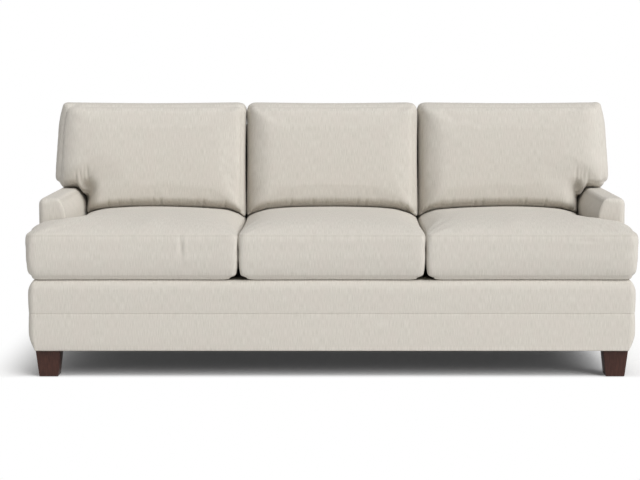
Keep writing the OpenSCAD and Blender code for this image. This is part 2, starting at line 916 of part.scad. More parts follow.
// Corners of the left cushion seen from the front, with an ear over the arm
back_left_corners = [
    [back_side_x, cushion_z, inner_corner_r, 4, 0],
    [back_in_x, cushion_z, inner_corner_r, 4, side_pull],
    [back_in_x, cushion_top_z, cushion_corner_r, 5, side_pull],
    [back_out_x + ear_lean, cushion_top_z, inner_corner_r, 4, side_pull],
    [back_out_x, back_ear_z, cushion_corner_r, 1, 0],
    [back_side_x, back_ear_z, notch_r, 1, 0],
];
back_center_corners = [
    [back_in_x + 2 * seam_gap, cushion_z, inner_corner_r, 4, 0],
    [-back_in_x - 2 * seam_gap, cushion_z, inner_corner_r, 4, side_pull],
    [-back_in_x - 2 * seam_gap, cushion_top_z, cushion_corner_r, 4, side_pull],
    [back_in_x + 2 * seam_gap, cushion_top_z, cushion_corner_r, 4, side_pull],
];

back_left_middle = [(back_side_x + back_in_x) / 2, (back_ear_z + cushion_top_z) / 2];
back_center_middle = [0, (cushion_z + cushion_top_z) / 2];

// Point at height z and distance w in front of the upholstered back
function back_place(p) =
    [p[0], inside_y(p[1]) - rest_gap - p[2] / cos(inside_rake), p[1]];

// Slab in front of the back, from height z1 to z2 and from w1 to w2 in front of it
module raked_slab(x1, x2, z1, z2, w1, w2) {
    low = [back_place([0, z1, w2]), back_place([0, z1, w1])];
    high = [back_place([0, z2, w1]), back_place([0, z2, w2])];
    board_yz([for (p = concat(low, high)) [p[1], p[2]]], x1, x2);
}

// Zip under a back cushion, or the groove that it lies in
module back_zip(x, gap = 0, run = 0) {
    y = back_place([0, cushion_z, back_boxing / 2])[1];
    z = cushion_z + slider_t;
    color(lining_color) {
        block([x - zip_l / 2 - gap, y - zip_w / 2 - gap, z - run],
            [x + zip_l / 2 + gap, y + zip_w / 2 + gap, z + zip_t]);
        if (run == 0)
            block([x + zip_l / 2 - slider_l, y - slider_w / 2, z - slider_t],
                [x + zip_l / 2, y + slider_w / 2, z]);
    }
}

module back_core(corners) {
    points = inset(plain_points(corners), core_inset);
    xs = [for (p = points) p[0]];
    color(foam_color)
        intersection() {
            panel_xz(cushion_y, sofa_d / 2)
                polygon(points);
            raked_slab(min(xs) - cut, max(xs) + cut, cushion_z, cushion_top_z, core_inset, back_boxing);
        }
}

module back_cover(corners, middle, zip_x) {
    color(fabric_color)
        difference() {
            cushion_form(
                cushion_rings(corners, back_boxing, back_crown, middle), middle,
                back_boxing, back_crown, function (p) back_place(p)
            );
            back_core(corners);
            back_zip(zip_x, fit, slider_t + cut);
        }
}

seat_zip_x = seat_left_middle[0];
back_zip_x = back_left_middle[0];

front_rail();
rear_rail();
spring_rail();
side_rail(-1);  // side_rail_left
side_rail(1);  // side_rail_right
cross_rails();
corner_blocks();
back_post(-1);  // back_post_left
back_post(1);  // back_post_right
back_ribs();
back_top_rail();
back_lower_rail();
arm_post(-1);  // arm_post_left
arm_post(1);  // arm_post_right
arm_top_rail(-1);  // arm_top_rail_left
arm_top_rail(1);  // arm_top_rail_right
arm_lower_rails();
seat_springs();
spring_clips();
spring_ties();
deck_pad();
deck_cover();
back_webbing();
inside_back();
outside_back();
outside_arm(-1);  // outside_arm_left
outside_arm(1);  // outside_arm_right
arm_cover(-1);  // arm_cover_left
arm_cover(1);  // arm_cover_right
arm_front(-1);  // arm_front_left
arm_front(1);  // arm_front_right
border_upper();
border_lower();
dust_cover();
leg(-leg_x, leg_front_y);  // leg_front_left
leg(leg_x, leg_front_y);  // leg_front_right
leg(-leg_x, leg_back_y);  // leg_back_left
leg(leg_x, leg_back_y);  // leg_back_right
leg_studs();
leg_nuts();
leg_glides();
frame_screws();
seat_cover(seat_left_corners, seat_left_middle, seat_zip_x);  // seat_cover_left
seat_core(seat_left_corners);  // seat_core_left
seat_zip(seat_zip_x);  // seat_zip_left
seat_cover(seat_center_corners, seat_center_middle, 0);  // seat_cover_center
seat_core(seat_center_corners);  // seat_core_center
seat_zip(0);  // seat_zip_center
on_side(1) seat_cover(seat_left_corners, seat_left_middle, seat_zip_x);  // seat_cover_right
on_side(1) seat_core(seat_left_corners);  // seat_core_right
on_side(1) seat_zip(seat_zip_x);  // seat_zip_right
back_cover(back_left_corners, back_left_middle, back_zip_x);  // back_cover_left
back_core(back_left_corners);  // back_core_left
back_zip(back_zip_x);  // back_zip_left
back_cover(back_center_corners, back_center_middle, 0);  // back_cover_center
back_core(back_center_corners);  // back_core_center
back_zip(0);  // back_zip_center
on_side(1) back_cover(back_left_corners, back_left_middle, back_zip_x);  // back_cover_right
on_side(1) back_core(back_left_corners);  // back_core_right
on_side(1) back_zip(back_zip_x);  // back_zip_right
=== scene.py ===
import json
import math

import bmesh
import bpy
import numpy as np
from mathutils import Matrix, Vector
from mathutils.bvhtree import BVHTree


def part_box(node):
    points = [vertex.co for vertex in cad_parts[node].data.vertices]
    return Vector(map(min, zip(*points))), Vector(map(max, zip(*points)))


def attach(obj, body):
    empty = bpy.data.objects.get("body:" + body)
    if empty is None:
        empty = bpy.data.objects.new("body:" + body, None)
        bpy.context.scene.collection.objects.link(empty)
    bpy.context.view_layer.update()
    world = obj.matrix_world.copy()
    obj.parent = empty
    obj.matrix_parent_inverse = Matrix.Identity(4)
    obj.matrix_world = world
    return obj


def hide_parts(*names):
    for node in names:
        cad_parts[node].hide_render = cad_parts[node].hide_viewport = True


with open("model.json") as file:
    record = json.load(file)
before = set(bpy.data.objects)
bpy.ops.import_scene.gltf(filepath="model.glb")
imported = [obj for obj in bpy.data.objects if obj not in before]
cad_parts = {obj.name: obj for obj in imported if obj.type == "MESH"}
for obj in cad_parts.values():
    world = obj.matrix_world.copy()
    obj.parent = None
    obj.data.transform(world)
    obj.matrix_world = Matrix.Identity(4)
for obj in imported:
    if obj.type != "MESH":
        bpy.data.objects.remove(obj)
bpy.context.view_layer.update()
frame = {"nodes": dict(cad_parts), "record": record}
scene = bpy.context.scene
mm = 0.001

# Camera: at the photograph's viewing angle, tilted down a little, with the sofa just right of the middle
photo_width_px = 640
focal_px = 1765.0
sensor_width = 36
sofa_shift = -0.0186
camera_distance = 6.575
camera_height = 1.157
tilt_degrees = 6.21
camera = bpy.data.objects.new("camera", bpy.data.cameras.new("camera"))
scene.collection.objects.link(camera)
camera.data.sensor_width = sensor_width
camera.data.lens = focal_px / photo_width_px * sensor_width
camera.data.shift_x = sofa_shift
camera.location = (0, -camera_distance, camera_height)
camera.rotation_euler = (math.radians(90 - tilt_degrees), 0, 0)
scene.camera = camera

# Places that the CAD gives, in metres
deck_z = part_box("deck_cover")[1].z
base_low, base_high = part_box("border_lower")
seam_z = base_high.z
base_x = base_high.x
leg_z = base_low.z
base_front = base_low.y
arm_low, arm_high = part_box("arm_front_left")
arm_out, arm_in, arm_top = arm_low.x, arm_high.x, arm_high.z
arm_front = arm_low.y
back_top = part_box("inside_back")[1].z
frame_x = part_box("front_rail")[1].x
back_rear_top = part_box("inside_back")[1].y

# The inside of the back leans further than its rear
inside_angle, rear_angle = math.radians(11), math.radians(6)
back_top_depth = 95 * mm
panel_t = 8 * mm


def inside_y(z):
    return back_rear_top - back_top_depth - (back_top - z) * math.tan(inside_angle)


def outside_y(z):
    return back_rear_top - (back_top - z) * math.tan(rear_angle)


# Materials
# The sockets of a Mix node that mixes colours, and how many waves a Wave node of scale 1 has in a metre
SHARE, FIRST, SECOND, MIXED = 0, 6, 7, 2
WAVES = 3.2


def linear(code):
    """An sRGB hex colour as the linear RGBA that the sockets take."""
    parts = [int(code[i:i + 2], 16) / 255 for i in (1, 3, 5)]
    return tuple(c / 12.92 if c <= 0.04045 else ((c + 0.055) / 1.055) ** 2.4 for c in parts) + (1,)


def add(tree, kind, values=None, links=None, **settings):
    """One shader node with its settings, its socket values and what feeds its other sockets, each of those a socket
    or a node, which stands for its first one."""
    made = tree.nodes.new("ShaderNode" + kind)
    for key, value in settings.items():
        setattr(made, key, value)
    for key, value in (values or {}).items():
        made.inputs[key].default_value = value
    for key, source in (links or {}).items():
        tree.links.new(source.outputs[0] if isinstance(source, bpy.types.Node) else source, made.inputs[key])
    return made


def new_material(name):
    made = bpy.data.materials.new(name)
    made.use_nodes = True
    made.node_tree.nodes.clear()
    return made, made.node_tree


def streaks(tree, place, size, detail=2.0):
    """Noise whose marks have a real size along each axis."""
    spread = add(tree, "Mapping", {"Scale": [1 / s for s in size]}, {"Vector": place})
    return add(tree, "TexNoise", {"Scale": 1.0, "Detail": detail}, {"Vector": spread})


def finish_material(tree, ground, layers, height, depth, strength, **surface):
    """Colours laid over a ground colour by their shares, bump, Principled surface with its plain values, and output."""
    below = {}
    for code, share in layers:
        mix = add(tree, "Mix", {FIRST: linear(ground), SECOND: linear(code)}, {SHARE: share, **below}, data_type="RGBA")
        below = {FIRST: mix.outputs[MIXED]}
    bump = add(tree, "Bump", {"Strength": strength, "Distance": depth}, {"Height": height})
    values = {key.replace("_", " "): value for key, value in surface.items()}
    skin = add(tree, "BsdfPrincipled", values, {"Base Color": mix.outputs[MIXED], "Normal": bump})
    add(tree, "OutputMaterial", links={"Surface": skin})


def slub_weave():
    """Plain weave of spun yarns, uneven in thickness, as on linen-look sofa cloth: matt, with short upright slubs
    a shade lighter or darker than the ground, and a faint warm and cool drift between the yarns. Real yarns are about
    1.2 mm apart and their slubs 1.2 mm wide, too fine to show in the render, so the weave is drawn 2.4 mm apart and
    the slubs 2.2 mm wide and 30 mm long."""
    made, tree = new_material("woven_slub_upholstery")
    cloth = add(tree, "UVMap", uv_map="cloth")
    slub_width, slub_length, weft_length = 2.2 * mm, 30 * mm, 16 * mm
    slubs = streaks(tree, cloth, (slub_width, slub_length, 1))
    weft = streaks(tree, cloth, (weft_length, slub_width, 1))
    drift = streaks(tree, cloth, (60 * mm, 90 * mm, 1))
    tone = add(tree, "MapRange", {"From Min": 0.36, "From Max": 0.64}, {"Value": slubs})
    across = add(tree, "MapRange", {"From Min": 0.58, "From Max": 0.74, "To Max": 0.35}, {"Value": weft})
    warm = add(tree, "MapRange", {"From Min": 0.4, "From Max": 0.62, "To Max": 0.25}, {"Value": drift})
    # Painted shade along the stitch lines: the seam attribute darkens the cloth towards #A49E92, standing in for the
    # shadow in their grooves
    seam = add(tree, "Attribute", attribute_name="seam").outputs["Fac"]
    layers = [("#D7D2C9", tone), ("#DAD6CE", across), ("#D3CAC2", warm), ("#A49E92", seam)]
    turn = 2 * math.pi / (2.4 * mm)
    place = add(tree, "Mapping", {"Scale": (turn, turn, 1)}, {"Vector": cloth})
    split = add(tree, "SeparateXYZ", links={0: place})
    warp = add(tree, "Math", links={0: split.outputs["X"]}, operation="SINE")
    fill = add(tree, "Math", links={0: split.outputs["Y"]}, operation="SINE")
    over = add(tree, "Math", {2: 0.5}, {0: warp, 1: fill}, operation="MULTIPLY_ADD")
    height = add(tree, "Math", {1: 2.0}, {0: slubs, 2: over}, operation="MULTIPLY_ADD")
    finish_material(tree, "#CAC5BB", layers, height, 0.22 * mm, 0.8, Roughness=0.94, Sheen_Weight=0.12,
                    Sheen_Roughness=0.5, Specular_IOR_Level=0.3, IOR=1.5)
    return made


def wood(name, light, dark, axis, grain, roughness, specular):
    """Straight grain along one axis: long streaks of early and late wood, with pores between them."""
    made, tree = new_material(name)
    place = add(tree, "TexCoord").outputs["Object"]
    # Pores are a fifth of the grain's width and 25 times as long as they are wide
    size, pores = [grain] * 3, [grain / 5] * 3
    size[axis], pores[axis] = grain * 26, grain * 5
    bands = streaks(tree, place, size, 4.0)
    fine = streaks(tree, place, pores)
    tone = add(tree, "MapRange", {"From Min": 0.35, "From Max": 0.65}, {"Value": bands})
    open_pores = add(tree, "MapRange", {"From Min": 0.62, "From Max": 0.72, "To Max": 0.5}, {"Value": fine})
    finish_material(tree, dark, [(light, tone), (dark, open_pores)], fine, 0.08 * mm, 0.5, Roughness=roughness,
                    IOR=1.5, Specular_IOR_Level=specular)
    return made


def ridged(name, light, dark, pitch, mark, roughness=0.9, strength=0.5):
    """Crossed ridges a pitch apart with an uneven tone, for the plain cloths, the felt and the textured plastic."""
    made, tree = new_material(name)
    place = add(tree, "TexCoord").outputs["Object"]
    marks = streaks(tree, place, (mark, mark, mark), 3.0)
    turn = 2 * math.pi / pitch
    spread = add(tree, "Mapping", {"Scale": (turn, turn, turn)}, {"Vector": place})
    split = add(tree, "SeparateXYZ", links={0: spread})
    waves = [add(tree, "Math", links={0: split.outputs[k]}, operation="SINE") for k in range(3)]
    first = add(tree, "Math", links={0: waves[0], 1: waves[1]}, operation="ADD")
    height = add(tree, "Math", links={0: first, 1: waves[2]}, operation="ADD")
    finish_material(tree, dark, [(light, marks)], height, pitch * 0.12, strength, Roughness=roughness, IOR=1.5)
    return made


def metal(name, light, dark, roughness):
    """Drawn steel wire and turned steel with a thin zinc coat: grey, half bright, cloudy from handling."""
    made, tree = new_material(name)
    place = add(tree, "TexCoord").outputs["Object"]
    clouds = streaks(tree, place, (9 * mm, 9 * mm, 9 * mm), 3.0)
    lines = streaks(tree, place, (0.8 * mm, 6 * mm, 0.8 * mm))
    finish_material(tree, dark, [(light, clouds)], lines, 0.03 * mm, 0.4, Roughness=roughness, Metallic=1.0)
    return made


def foam():
    """Moulded polyurethane foam: pale cream, with open cells about 1.2 mm across, which make it matt."""
    made, tree = new_material("polyurethane_foam")
    place = add(tree, "TexCoord").outputs["Object"]
    cells = add(tree, "TexVoronoi", {"Scale": 1 / (1.2 * mm)}, {"Vector": place})
    age = streaks(tree, place, (80 * mm, 80 * mm, 80 * mm))
    finish_material(tree, "#E2D6B2", [("#EDE5CC", age)], cells.outputs["Distance"], 0.5 * mm, 0.7, Roughness=0.95,
                    IOR=1.45)
    return made


def zip_coil():
    """Nylon coil zip on woven tape: fine ribs across the tape 2 mm apart, with a slight gloss."""
    made, tree = new_material("nylon_coil_zip")
    place = add(tree, "TexCoord").outputs["Object"]
    ribs = add(tree, "TexWave", {"Scale": 1 / (2 * mm) / WAVES}, {"Vector": place}, bands_direction="X").outputs["Fac"]
    finish_material(tree, "#B4AE9F", [("#CFCABE", ribs)], ribs, 0.4 * mm, 0.8, Roughness=0.55, IOR=1.53)
    return made


def webbing_bands():
    """Woven jute and rubber webbing: tan, with darker lines along it 9 mm apart and a coarse weave."""
    made, tree = new_material("woven_webbing")
    place = add(tree, "TexCoord").outputs["Object"]
    lines = add(tree, "TexWave", {"Scale": 1 / (9 * mm) / WAVES}, {"Vector": place}, bands_direction="DIAGONAL")
    fibres = streaks(tree, place, (1.6 * mm, 1.6 * mm, 1.6 * mm))
    finish_material(tree, "#8A7350", [("#B79F76", lines.outputs["Fac"])], fibres, 0.5 * mm, 0.8, Roughness=0.9, IOR=1.5)
    return made


fabric = slub_weave()
# Birch, turned and sawn to a taper, stained dark brown and lacquered satin: red-brown, even, with a soft gloss
wood_leg = wood("stained_birch", "#45281F", "#351C15", 2, 3 * mm, 0.38, 0.28)
# Sawn and planed hardwood for the frame, unfinished: pale, with its grain along each rail
timbers = [wood(f"frame_hardwood_{'xyz'[k]}", "#D3B688", "#BE9C6A", k, 5 * mm, 0.72, 0.4) for k in range(3)]
# Drawn spring wire and pressed clips, and the zinc coated studs, nuts and screws
steel = metal("zinc_coated_steel", "#A9ACB0", "#8C9095", 0.42)
# Plain woven cotton over the springs, in the sofa's own tone
deck_cloth = ridged("cotton_deck_cloth", "#CDC8BD", "#BEB9AE", 1.8 * mm, 30 * mm)
# Needled felt of mixed fibres: grey, with coarse light and dark flecks
felt = ridged("needled_felt", "#A19E98", "#77746F", 6 * mm, 5 * mm, 0.97, 0.3)
# Spun-bonded polypropylene: near black, with fine pressed dimples
dust_cloth = ridged("spun_bonded_dust_cloth", "#3A3A3C", "#29292B", 3 * mm, 14 * mm, 0.8)
# Moulded nylon: black, a little rough
nylon = ridged("moulded_nylon", "#2D2D2E", "#242425", 4 * mm, 6 * mm, 0.45, 0.1)
# Plain lining cloth on the inner faces
lining = ridged("lining", "#B5B0A6", "#A7A298", 1.6 * mm, 20 * mm)

slots = {"upholstery_fabric": lining, "stained_legs": wood_leg, "spring_steel": steel, "cushion_foam": foam(),
         "zip": zip_coil(), "deck_cloth": deck_cloth, "felt_pad": felt, "webbing": webbing_bands(),
         "dust_cloth": dust_cloth, "glide_plastic": nylon}
along_y = ("cross_rails", "arm_lower_rails", "side_rail", "arm_top_rail")
along_z = ("corner_blocks", "back_post", "back_ribs", "arm_post")


def grain_of(node):
    return timbers[1] if node.startswith(along_y) else timbers[2] if node.startswith(along_z) else timbers[0]


for part in frame["record"]["subparts"]:
    obj = frame["nodes"][part["node"]]
    slot = part["material_slot"]
    obj.data.materials.clear()
    obj.data.materials.append(grain_of(part["node"]) if slot == "frame_timber" else slots[slot])

# Modelling tools
MERGE = 0.02 * mm


def active(obj):
    """Makes obj the one selected and active object."""
    bpy.ops.object.select_all(action="DESELECT")
    obj.select_set(True)
    bpy.context.view_layer.objects.active = obj


def edit_all(obj):
    """Goes into edit mode with all of a mesh selected."""
    active(obj)
    bpy.ops.object.mode_set(mode="EDIT")
    bpy.ops.mesh.select_all(action="SELECT")


def leave():
    """Comes back from edit mode with nothing selected."""
    bpy.ops.mesh.select_all(action="DESELECT")
    bpy.ops.object.mode_set(mode="OBJECT")


def turn_over(obj):
    """Turns each face to its other side, as a mirrored mesh needs."""
    edit_all(obj)
    bpy.ops.mesh.flip_normals()
    leave()


def points(obj):
    """The points of a mesh as an array."""
    flat = np.zeros(len(obj.data.vertices) * 3)
    obj.data.vertices.foreach_get("co", flat)
    return flat.reshape(-1, 3)


def put_points(obj, place):
    obj.data.vertices.foreach_set("co", np.asarray(place, float).ravel())
    obj.data.update()


def normals(obj):
    """The direction that each point of a mesh faces."""
    flat = np.zeros(len(obj.data.vertices) * 3)
    obj.data.vertices.foreach_get("normal", flat)
    return flat.reshape(-1, 3)


def apply(obj, kind, **settings):
    """Adds one modifier with its settings and applies it."""
    active(obj)
    made = obj.modifiers.new(kind.lower(), kind)
    for key, value in settings.items():
        setattr(made, key, value)
    bpy.ops.object.modifier_apply(modifier=made.name)


def keep(obj, name, values):
    """Keeps one number or vector for each point of a mesh under a name."""
    wide = np.ndim(values) == 2
    made = obj.data.attributes.new(name, "FLOAT_VECTOR" if wide else "FLOAT", "POINT")
    made.data.foreach_set("vector" if wide else "value", np.asarray(values, np.float32).ravel())


def kept(obj, name):
    made = obj.data.attributes[name]
    wide = made.data_type == "FLOAT_VECTOR"
    flat = np.zeros(len(obj.data.vertices) * (3 if wide else 1), np.float32)
    made.data.foreach_get("vector" if wide else "value", flat)
    return flat.reshape(-1, 3).astype(float) if wide else flat.astype(float)


def lay_cloth(obj):
    """Lays the weave on each face in metres, along the two axes that the face lies closest to."""
    mesh = obj.data
    place = points(obj)
    faces = len(mesh.polygons)
    facing = np.zeros(faces * 3)
    mesh.polygons.foreach_get("normal", facing)
    count = np.zeros(faces, int)
    mesh.polygons.foreach_get("loop_total", count)
    corner = np.zeros(len(mesh.loops), int)
    mesh.loops.foreach_get("vertex_index", corner)
    axis = np.repeat(np.abs(facing.reshape(-1, 3) * (1, 1.02, 1.05)).argmax(axis=1), count)
    p = place[corner]
    u = np.where(axis == 0, p[:, 1], p[:, 0])
    v = np.where(axis == 2, p[:, 1], p[:, 2])
    flat = np.column_stack([u + axis * 0.37, v + axis * 0.21])
    layer = mesh.uv_layers.get("cloth") or mesh.uv_layers.new(name="cloth")
    layer.data.foreach_set("uv", flat.ravel())
    mesh.uv_layers.active = layer


def dress(obj, material, body, replaced):
    """Gives a finished piece its material and body, and hides the CAD nodes that it stands in for."""
    obj.data.materials.clear()
    obj.data.materials.append(material)
    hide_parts(*replaced)
    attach(obj, body)
    return obj


def block(name, low, high):
    """A box primitive at its place, as the start of a piece."""
    bpy.ops.object.select_all(action="DESELECT")
    size = [b - a for a, b in zip(low, high)]
    bpy.ops.mesh.primitive_cube_add(size=1, location=[(a + b) / 2 for a, b in zip(low, high)], scale=size)
    obj = bpy.context.object
    bpy.ops.object.transform_apply(location=True, rotation=True, scale=True)
    obj.name = name
    obj.data.name = name
    return obj


def cut(obj, place, facing):
    """Cuts a piece's faces along a plane, without taking anything away."""
    edit_all(obj)
    bpy.ops.mesh.bisect(plane_co=place, plane_no=facing)
    leave()


def pick(obj, kind, test):
    """Goes into edit mode with just those faces or edges selected whose middle and direction pass the test."""
    active(obj)
    bpy.ops.object.mode_set(mode="EDIT")
    bpy.ops.mesh.select_all(action="DESELECT")
    bpy.ops.mesh.select_mode(type=kind)
    bpy.ops.object.mode_set(mode="OBJECT")
    mesh = obj.data
    if kind == "FACE":
        for face in mesh.polygons:
            face.select = bool(test(face.center, face.normal))
    else:
        for edge in mesh.edges:
            a, b = (mesh.vertices[i].co for i in edge.vertices)
            edge.select = bool(test((a + b) / 2, (b - a).normalized()))
    bpy.ops.object.mode_set(mode="EDIT")


def soften(width, segments):
    """Rounds the edges that are picked, and comes back from edit mode."""
    bpy.ops.mesh.bevel(offset=width, segments=segments, profile=0.5, affect="EDGES")
    leave()


def near(a, b):
    return abs(a - b) < 0.5 * mm


def outwards(obj):
    """Merges doubles and turns all faces outwards."""
    edit_all(obj)
    bpy.ops.mesh.remove_doubles(threshold=MERGE)
    bpy.ops.mesh.normals_make_consistent(inside=False)
    leave()


def finish_cloth(obj, edge_degrees=None):
    """Smooth shading, with edges sharper than an angle kept where one is given, and the weave laid on."""
    active(obj)
    if edge_degrees is None:
        bpy.ops.object.shade_smooth()
    else:
        bpy.ops.object.shade_smooth_by_angle(angle=math.radians(edge_degrees))
    lay_cloth(obj)


# Cushions
VOXEL = 8 * mm
# Clearances: cushion to arm, cushion to what it rests on, and cushion to its neighbour
arm_gap, rest_gap, meet_gap = 1 * mm, 0.4 * mm, 0.3 * mm
seat_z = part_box("seat_cover_center")[0].z
seat_boxing, seat_crown = 159 * mm, 48 * mm
seat_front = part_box("seat_cover_left")[0].y
seat_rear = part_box("seat_cover_center")[1].y
seat_out = -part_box("seat_cover_left")[0].x
seat_in = -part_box("seat_cover_left")[1].x
middle_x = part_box("seat_cover_center")[1].x
seam_plane = (seat_in + middle_x) / 2
side_x = -arm_in - arm_gap
back_low_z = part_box("back_cover_center")[0].z
back_high_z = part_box("back_cover_center")[1].z
back_boxing, back_crown, back_seam = 180 * mm, 50 * mm, 120 * mm
# The ears of the back cushions, over the arms
ear_x = base_x - 10 * mm
ear_lean = 16 * mm
ear_z = arm_top + rest_gap
rake_cos = math.cos(inside_angle)
dome_run = 170 * mm
# How far the arm's padded inside stands proud, and over which depth and height it gets there
arm_full, arm_full_depth, arm_full_height = 6.5 * mm, 80 * mm, 90 * mm


def outer_shell(node, name):
    """A copy of a CAD cover with its points merged and its inner hollow taken out."""
    obj = bpy.data.objects.new(name, frame["nodes"][node].data.copy())
    scene.collection.objects.link(obj)
    edit_all(obj)
    bpy.ops.mesh.remove_doubles(threshold=MERGE)
    bpy.ops.mesh.separate(type="LOOSE")
    bpy.ops.object.mode_set(mode="OBJECT")
    parts = sorted(bpy.context.selected_objects, key=lambda o: -max(o.dimensions))
    for spare in parts[1:]:
        bpy.data.objects.remove(spare)
    shell = parts[0]
    shell.name = name
    shell.data.name = name
    return shell


def plain_cushion(node, name):
    """The cover's plain form, evenly meshed and a little softened."""
    obj = outer_shell(node, name)
    apply(obj, "REMESH", mode="VOXEL", voxel_size=VOXEL, adaptivity=0)
    apply(obj, "SMOOTH", factor=0.5, iterations=4)
    return obj


def swell(obj, held, pressure):
    """Cloth filled from inside with gravity off, held at its seams, whose result becomes the mesh."""
    frames, furthest = 20, 22 * mm
    before = points(obj)
    group = obj.vertex_groups.new(name="held")
    group.add([int(i) for i in np.nonzero(held)[0]], 1.0, "REPLACE")
    active(obj)
    made = obj.modifiers.new("cloth", "CLOTH")
    cloth = made.settings
    cloth.quality = 4
    cloth.mass = 0.3
    cloth.tension_stiffness = 15
    cloth.compression_stiffness = 15
    cloth.shear_stiffness = 5
    cloth.bending_stiffness = 6
    cloth.use_pressure = True
    cloth.uniform_pressure_force = pressure
    cloth.vertex_group_mass = group.name
    cloth.effector_weights.gravity = 0
    made.collision_settings.use_collision = False
    for step in range(1, frames + 1):
        scene.frame_set(step)
    bpy.ops.object.modifier_apply(modifier=made.name)
    scene.frame_set(1)
    obj.vertex_groups.clear()
    move = points(obj) - before
    far = np.linalg.norm(move, axis=1, keepdims=True)
    put_points(obj, before + move * np.minimum(1, furthest / np.maximum(far, 1e-9)))


def fill_cover(obj, q, inside, seam_level, pressure, give):
    """Fills a cushion that is held at its seam and where it rests, keeps a share of the move, and subdivides it."""
    seam_half, seam_depth, rest_depth = 5 * mm, 14 * mm, 6 * mm
    seam = (np.abs(q[:, 2] - seam_level) < seam_half) & (inside < seam_depth)
    before = points(obj)
    swell(obj, seam | (q[:, 2] < rest_depth), pressure)
    put_points(obj, before + (points(obj) - before) * give)
    apply(obj, "SUBSURF", levels=1, render_levels=1)


def side_gap(place, a, b):
    """Distance of points from one side of an outline, where along it each is nearest, and the side itself."""
    a, b = np.array(a), np.array(b)
    run = b - a
    share = np.clip(((place - a) @ run) / (run @ run), 0, 1)
    return np.linalg.norm(place - a - share[:, None] * run, axis=1), share, run


def edge_distance(place, corners):
    """Distance of points in a plane from a closed outline, the nearest side's inward normal, and the place along it."""
    best = np.full(len(place), 1e9)
    normal = np.zeros((len(place), 2))
    along = np.zeros(len(place))
    start = 0.0
    for a, b in zip(corners, corners[1:] + corners[:1]):
        gap, share, run = side_gap(place, a, b)
        length = np.linalg.norm(run)
        closer = gap < best
        best[closer] = gap[closer]
        normal[closer] = np.array([-run[1], run[0]]) / length
        along[closer] = start + share[closer] * length
        start += length
    return best, normal, along


def sides_distance(place, corners, sides):
    """Distance to some of an outline's sides only."""
    return np.min([side_gap(place, corners[k], corners[(k + 1) % len(corners)])[0] for k in sides], axis=0)


def seat_local(p):
    return np.column_stack([p[:, 0], p[:, 1], p[:, 2] - seat_z])


def seat_world(q):
    return np.column_stack([q[:, 0], q[:, 1], q[:, 2] + seat_z])


def back_local(p):
    plane = inside_y(p[:, 2]) - rest_gap
    return np.column_stack([p[:, 0], p[:, 2], (plane - p[:, 1]) * rake_cos])


def back_world(q):
    plane = inside_y(q[:, 1]) - rest_gap
    return np.column_stack([q[:, 0], plane - q[:, 2] / rake_cos, q[:, 1]])


# Outlines run anticlockwise from the lower left corner, and their sides are counted from 0 in that order
def seat_outline(side):
    if side == 0:
        return [(-middle_x, seat_front), (middle_x, seat_front), (middle_x, seat_rear), (-middle_x, seat_rear)]
    return [(-seat_out, seat_front), (-seat_in, seat_front), (-seat_in, seat_rear), (-side_x, seat_rear),
            (-side_x, arm_front - arm_gap), (-seat_out, arm_front - arm_gap)]


def back_outline(side):
    if side == 0:
        return [(-middle_x, back_low_z), (middle_x, back_low_z), (middle_x, back_high_z), (-middle_x, back_high_z)]
    return [(-side_x, back_low_z), (-seat_in, back_low_z), (-seat_in, back_high_z),
            (-ear_x + ear_lean, back_high_z), (-ear_x, ear_z), (-side_x, ear_z)]


def soft(share):
    """Smooth rise from 0 to 1."""
    share = np.clip(share, 0, 1)
    return share * share * (3 - 2 * share)


def round_off(share):
    """Quarter round from 0 at the edge to 1."""
    return np.sqrt(1 - (1 - np.clip(share, 0, 1)) ** 2)


def ease(depth, height, reach, rise):
    """Turns a square edge round: both distances inwards from the edge, and the round's size along each."""
    e = np.clip(np.column_stack([1 - depth / reach, 1 - height / rise]), 0, None)
    long = np.linalg.norm(e, axis=1)
    share = np.where(long > 1e-6, e.max(axis=1) / np.maximum(long, 1e-6), 1)
    share = np.where((e > 0).all(axis=1), share, 1)
    return e[:, 0] * (1 - share) * reach, e[:, 1] * (1 - share) * rise


def ease_side(q, corners, side, reach, rise, top=None):
    """Rounds the edge between one side of an outline and the cushion's face, or its bottom where top is None."""
    fade, outside = 50 * mm, 4 * mm
    a, b = np.array(corners[side]), np.array(corners[(side + 1) % len(corners)])
    run = (b - a) / np.linalg.norm(b - a)
    inward = np.array([-run[1], run[0]])
    along = (q[:, :2] - a) @ run
    depth = (q[:, :2] - a) @ inward
    # Past its ends the round fades out
    over = soft(1 + np.minimum(along, np.linalg.norm(b - a) - along) / fade)
    here = over * (depth > -outside) * (depth < reach)
    height = q[:, 2] if top is None else top - q[:, 2]
    shift, lift = ease(np.maximum(depth, 0), np.maximum(height, 0), reach, rise)
    q[:, :2] += (here * shift)[:, None] * inward
    q[:, 2] += here * lift * (1 if top is None else -1)
    return q


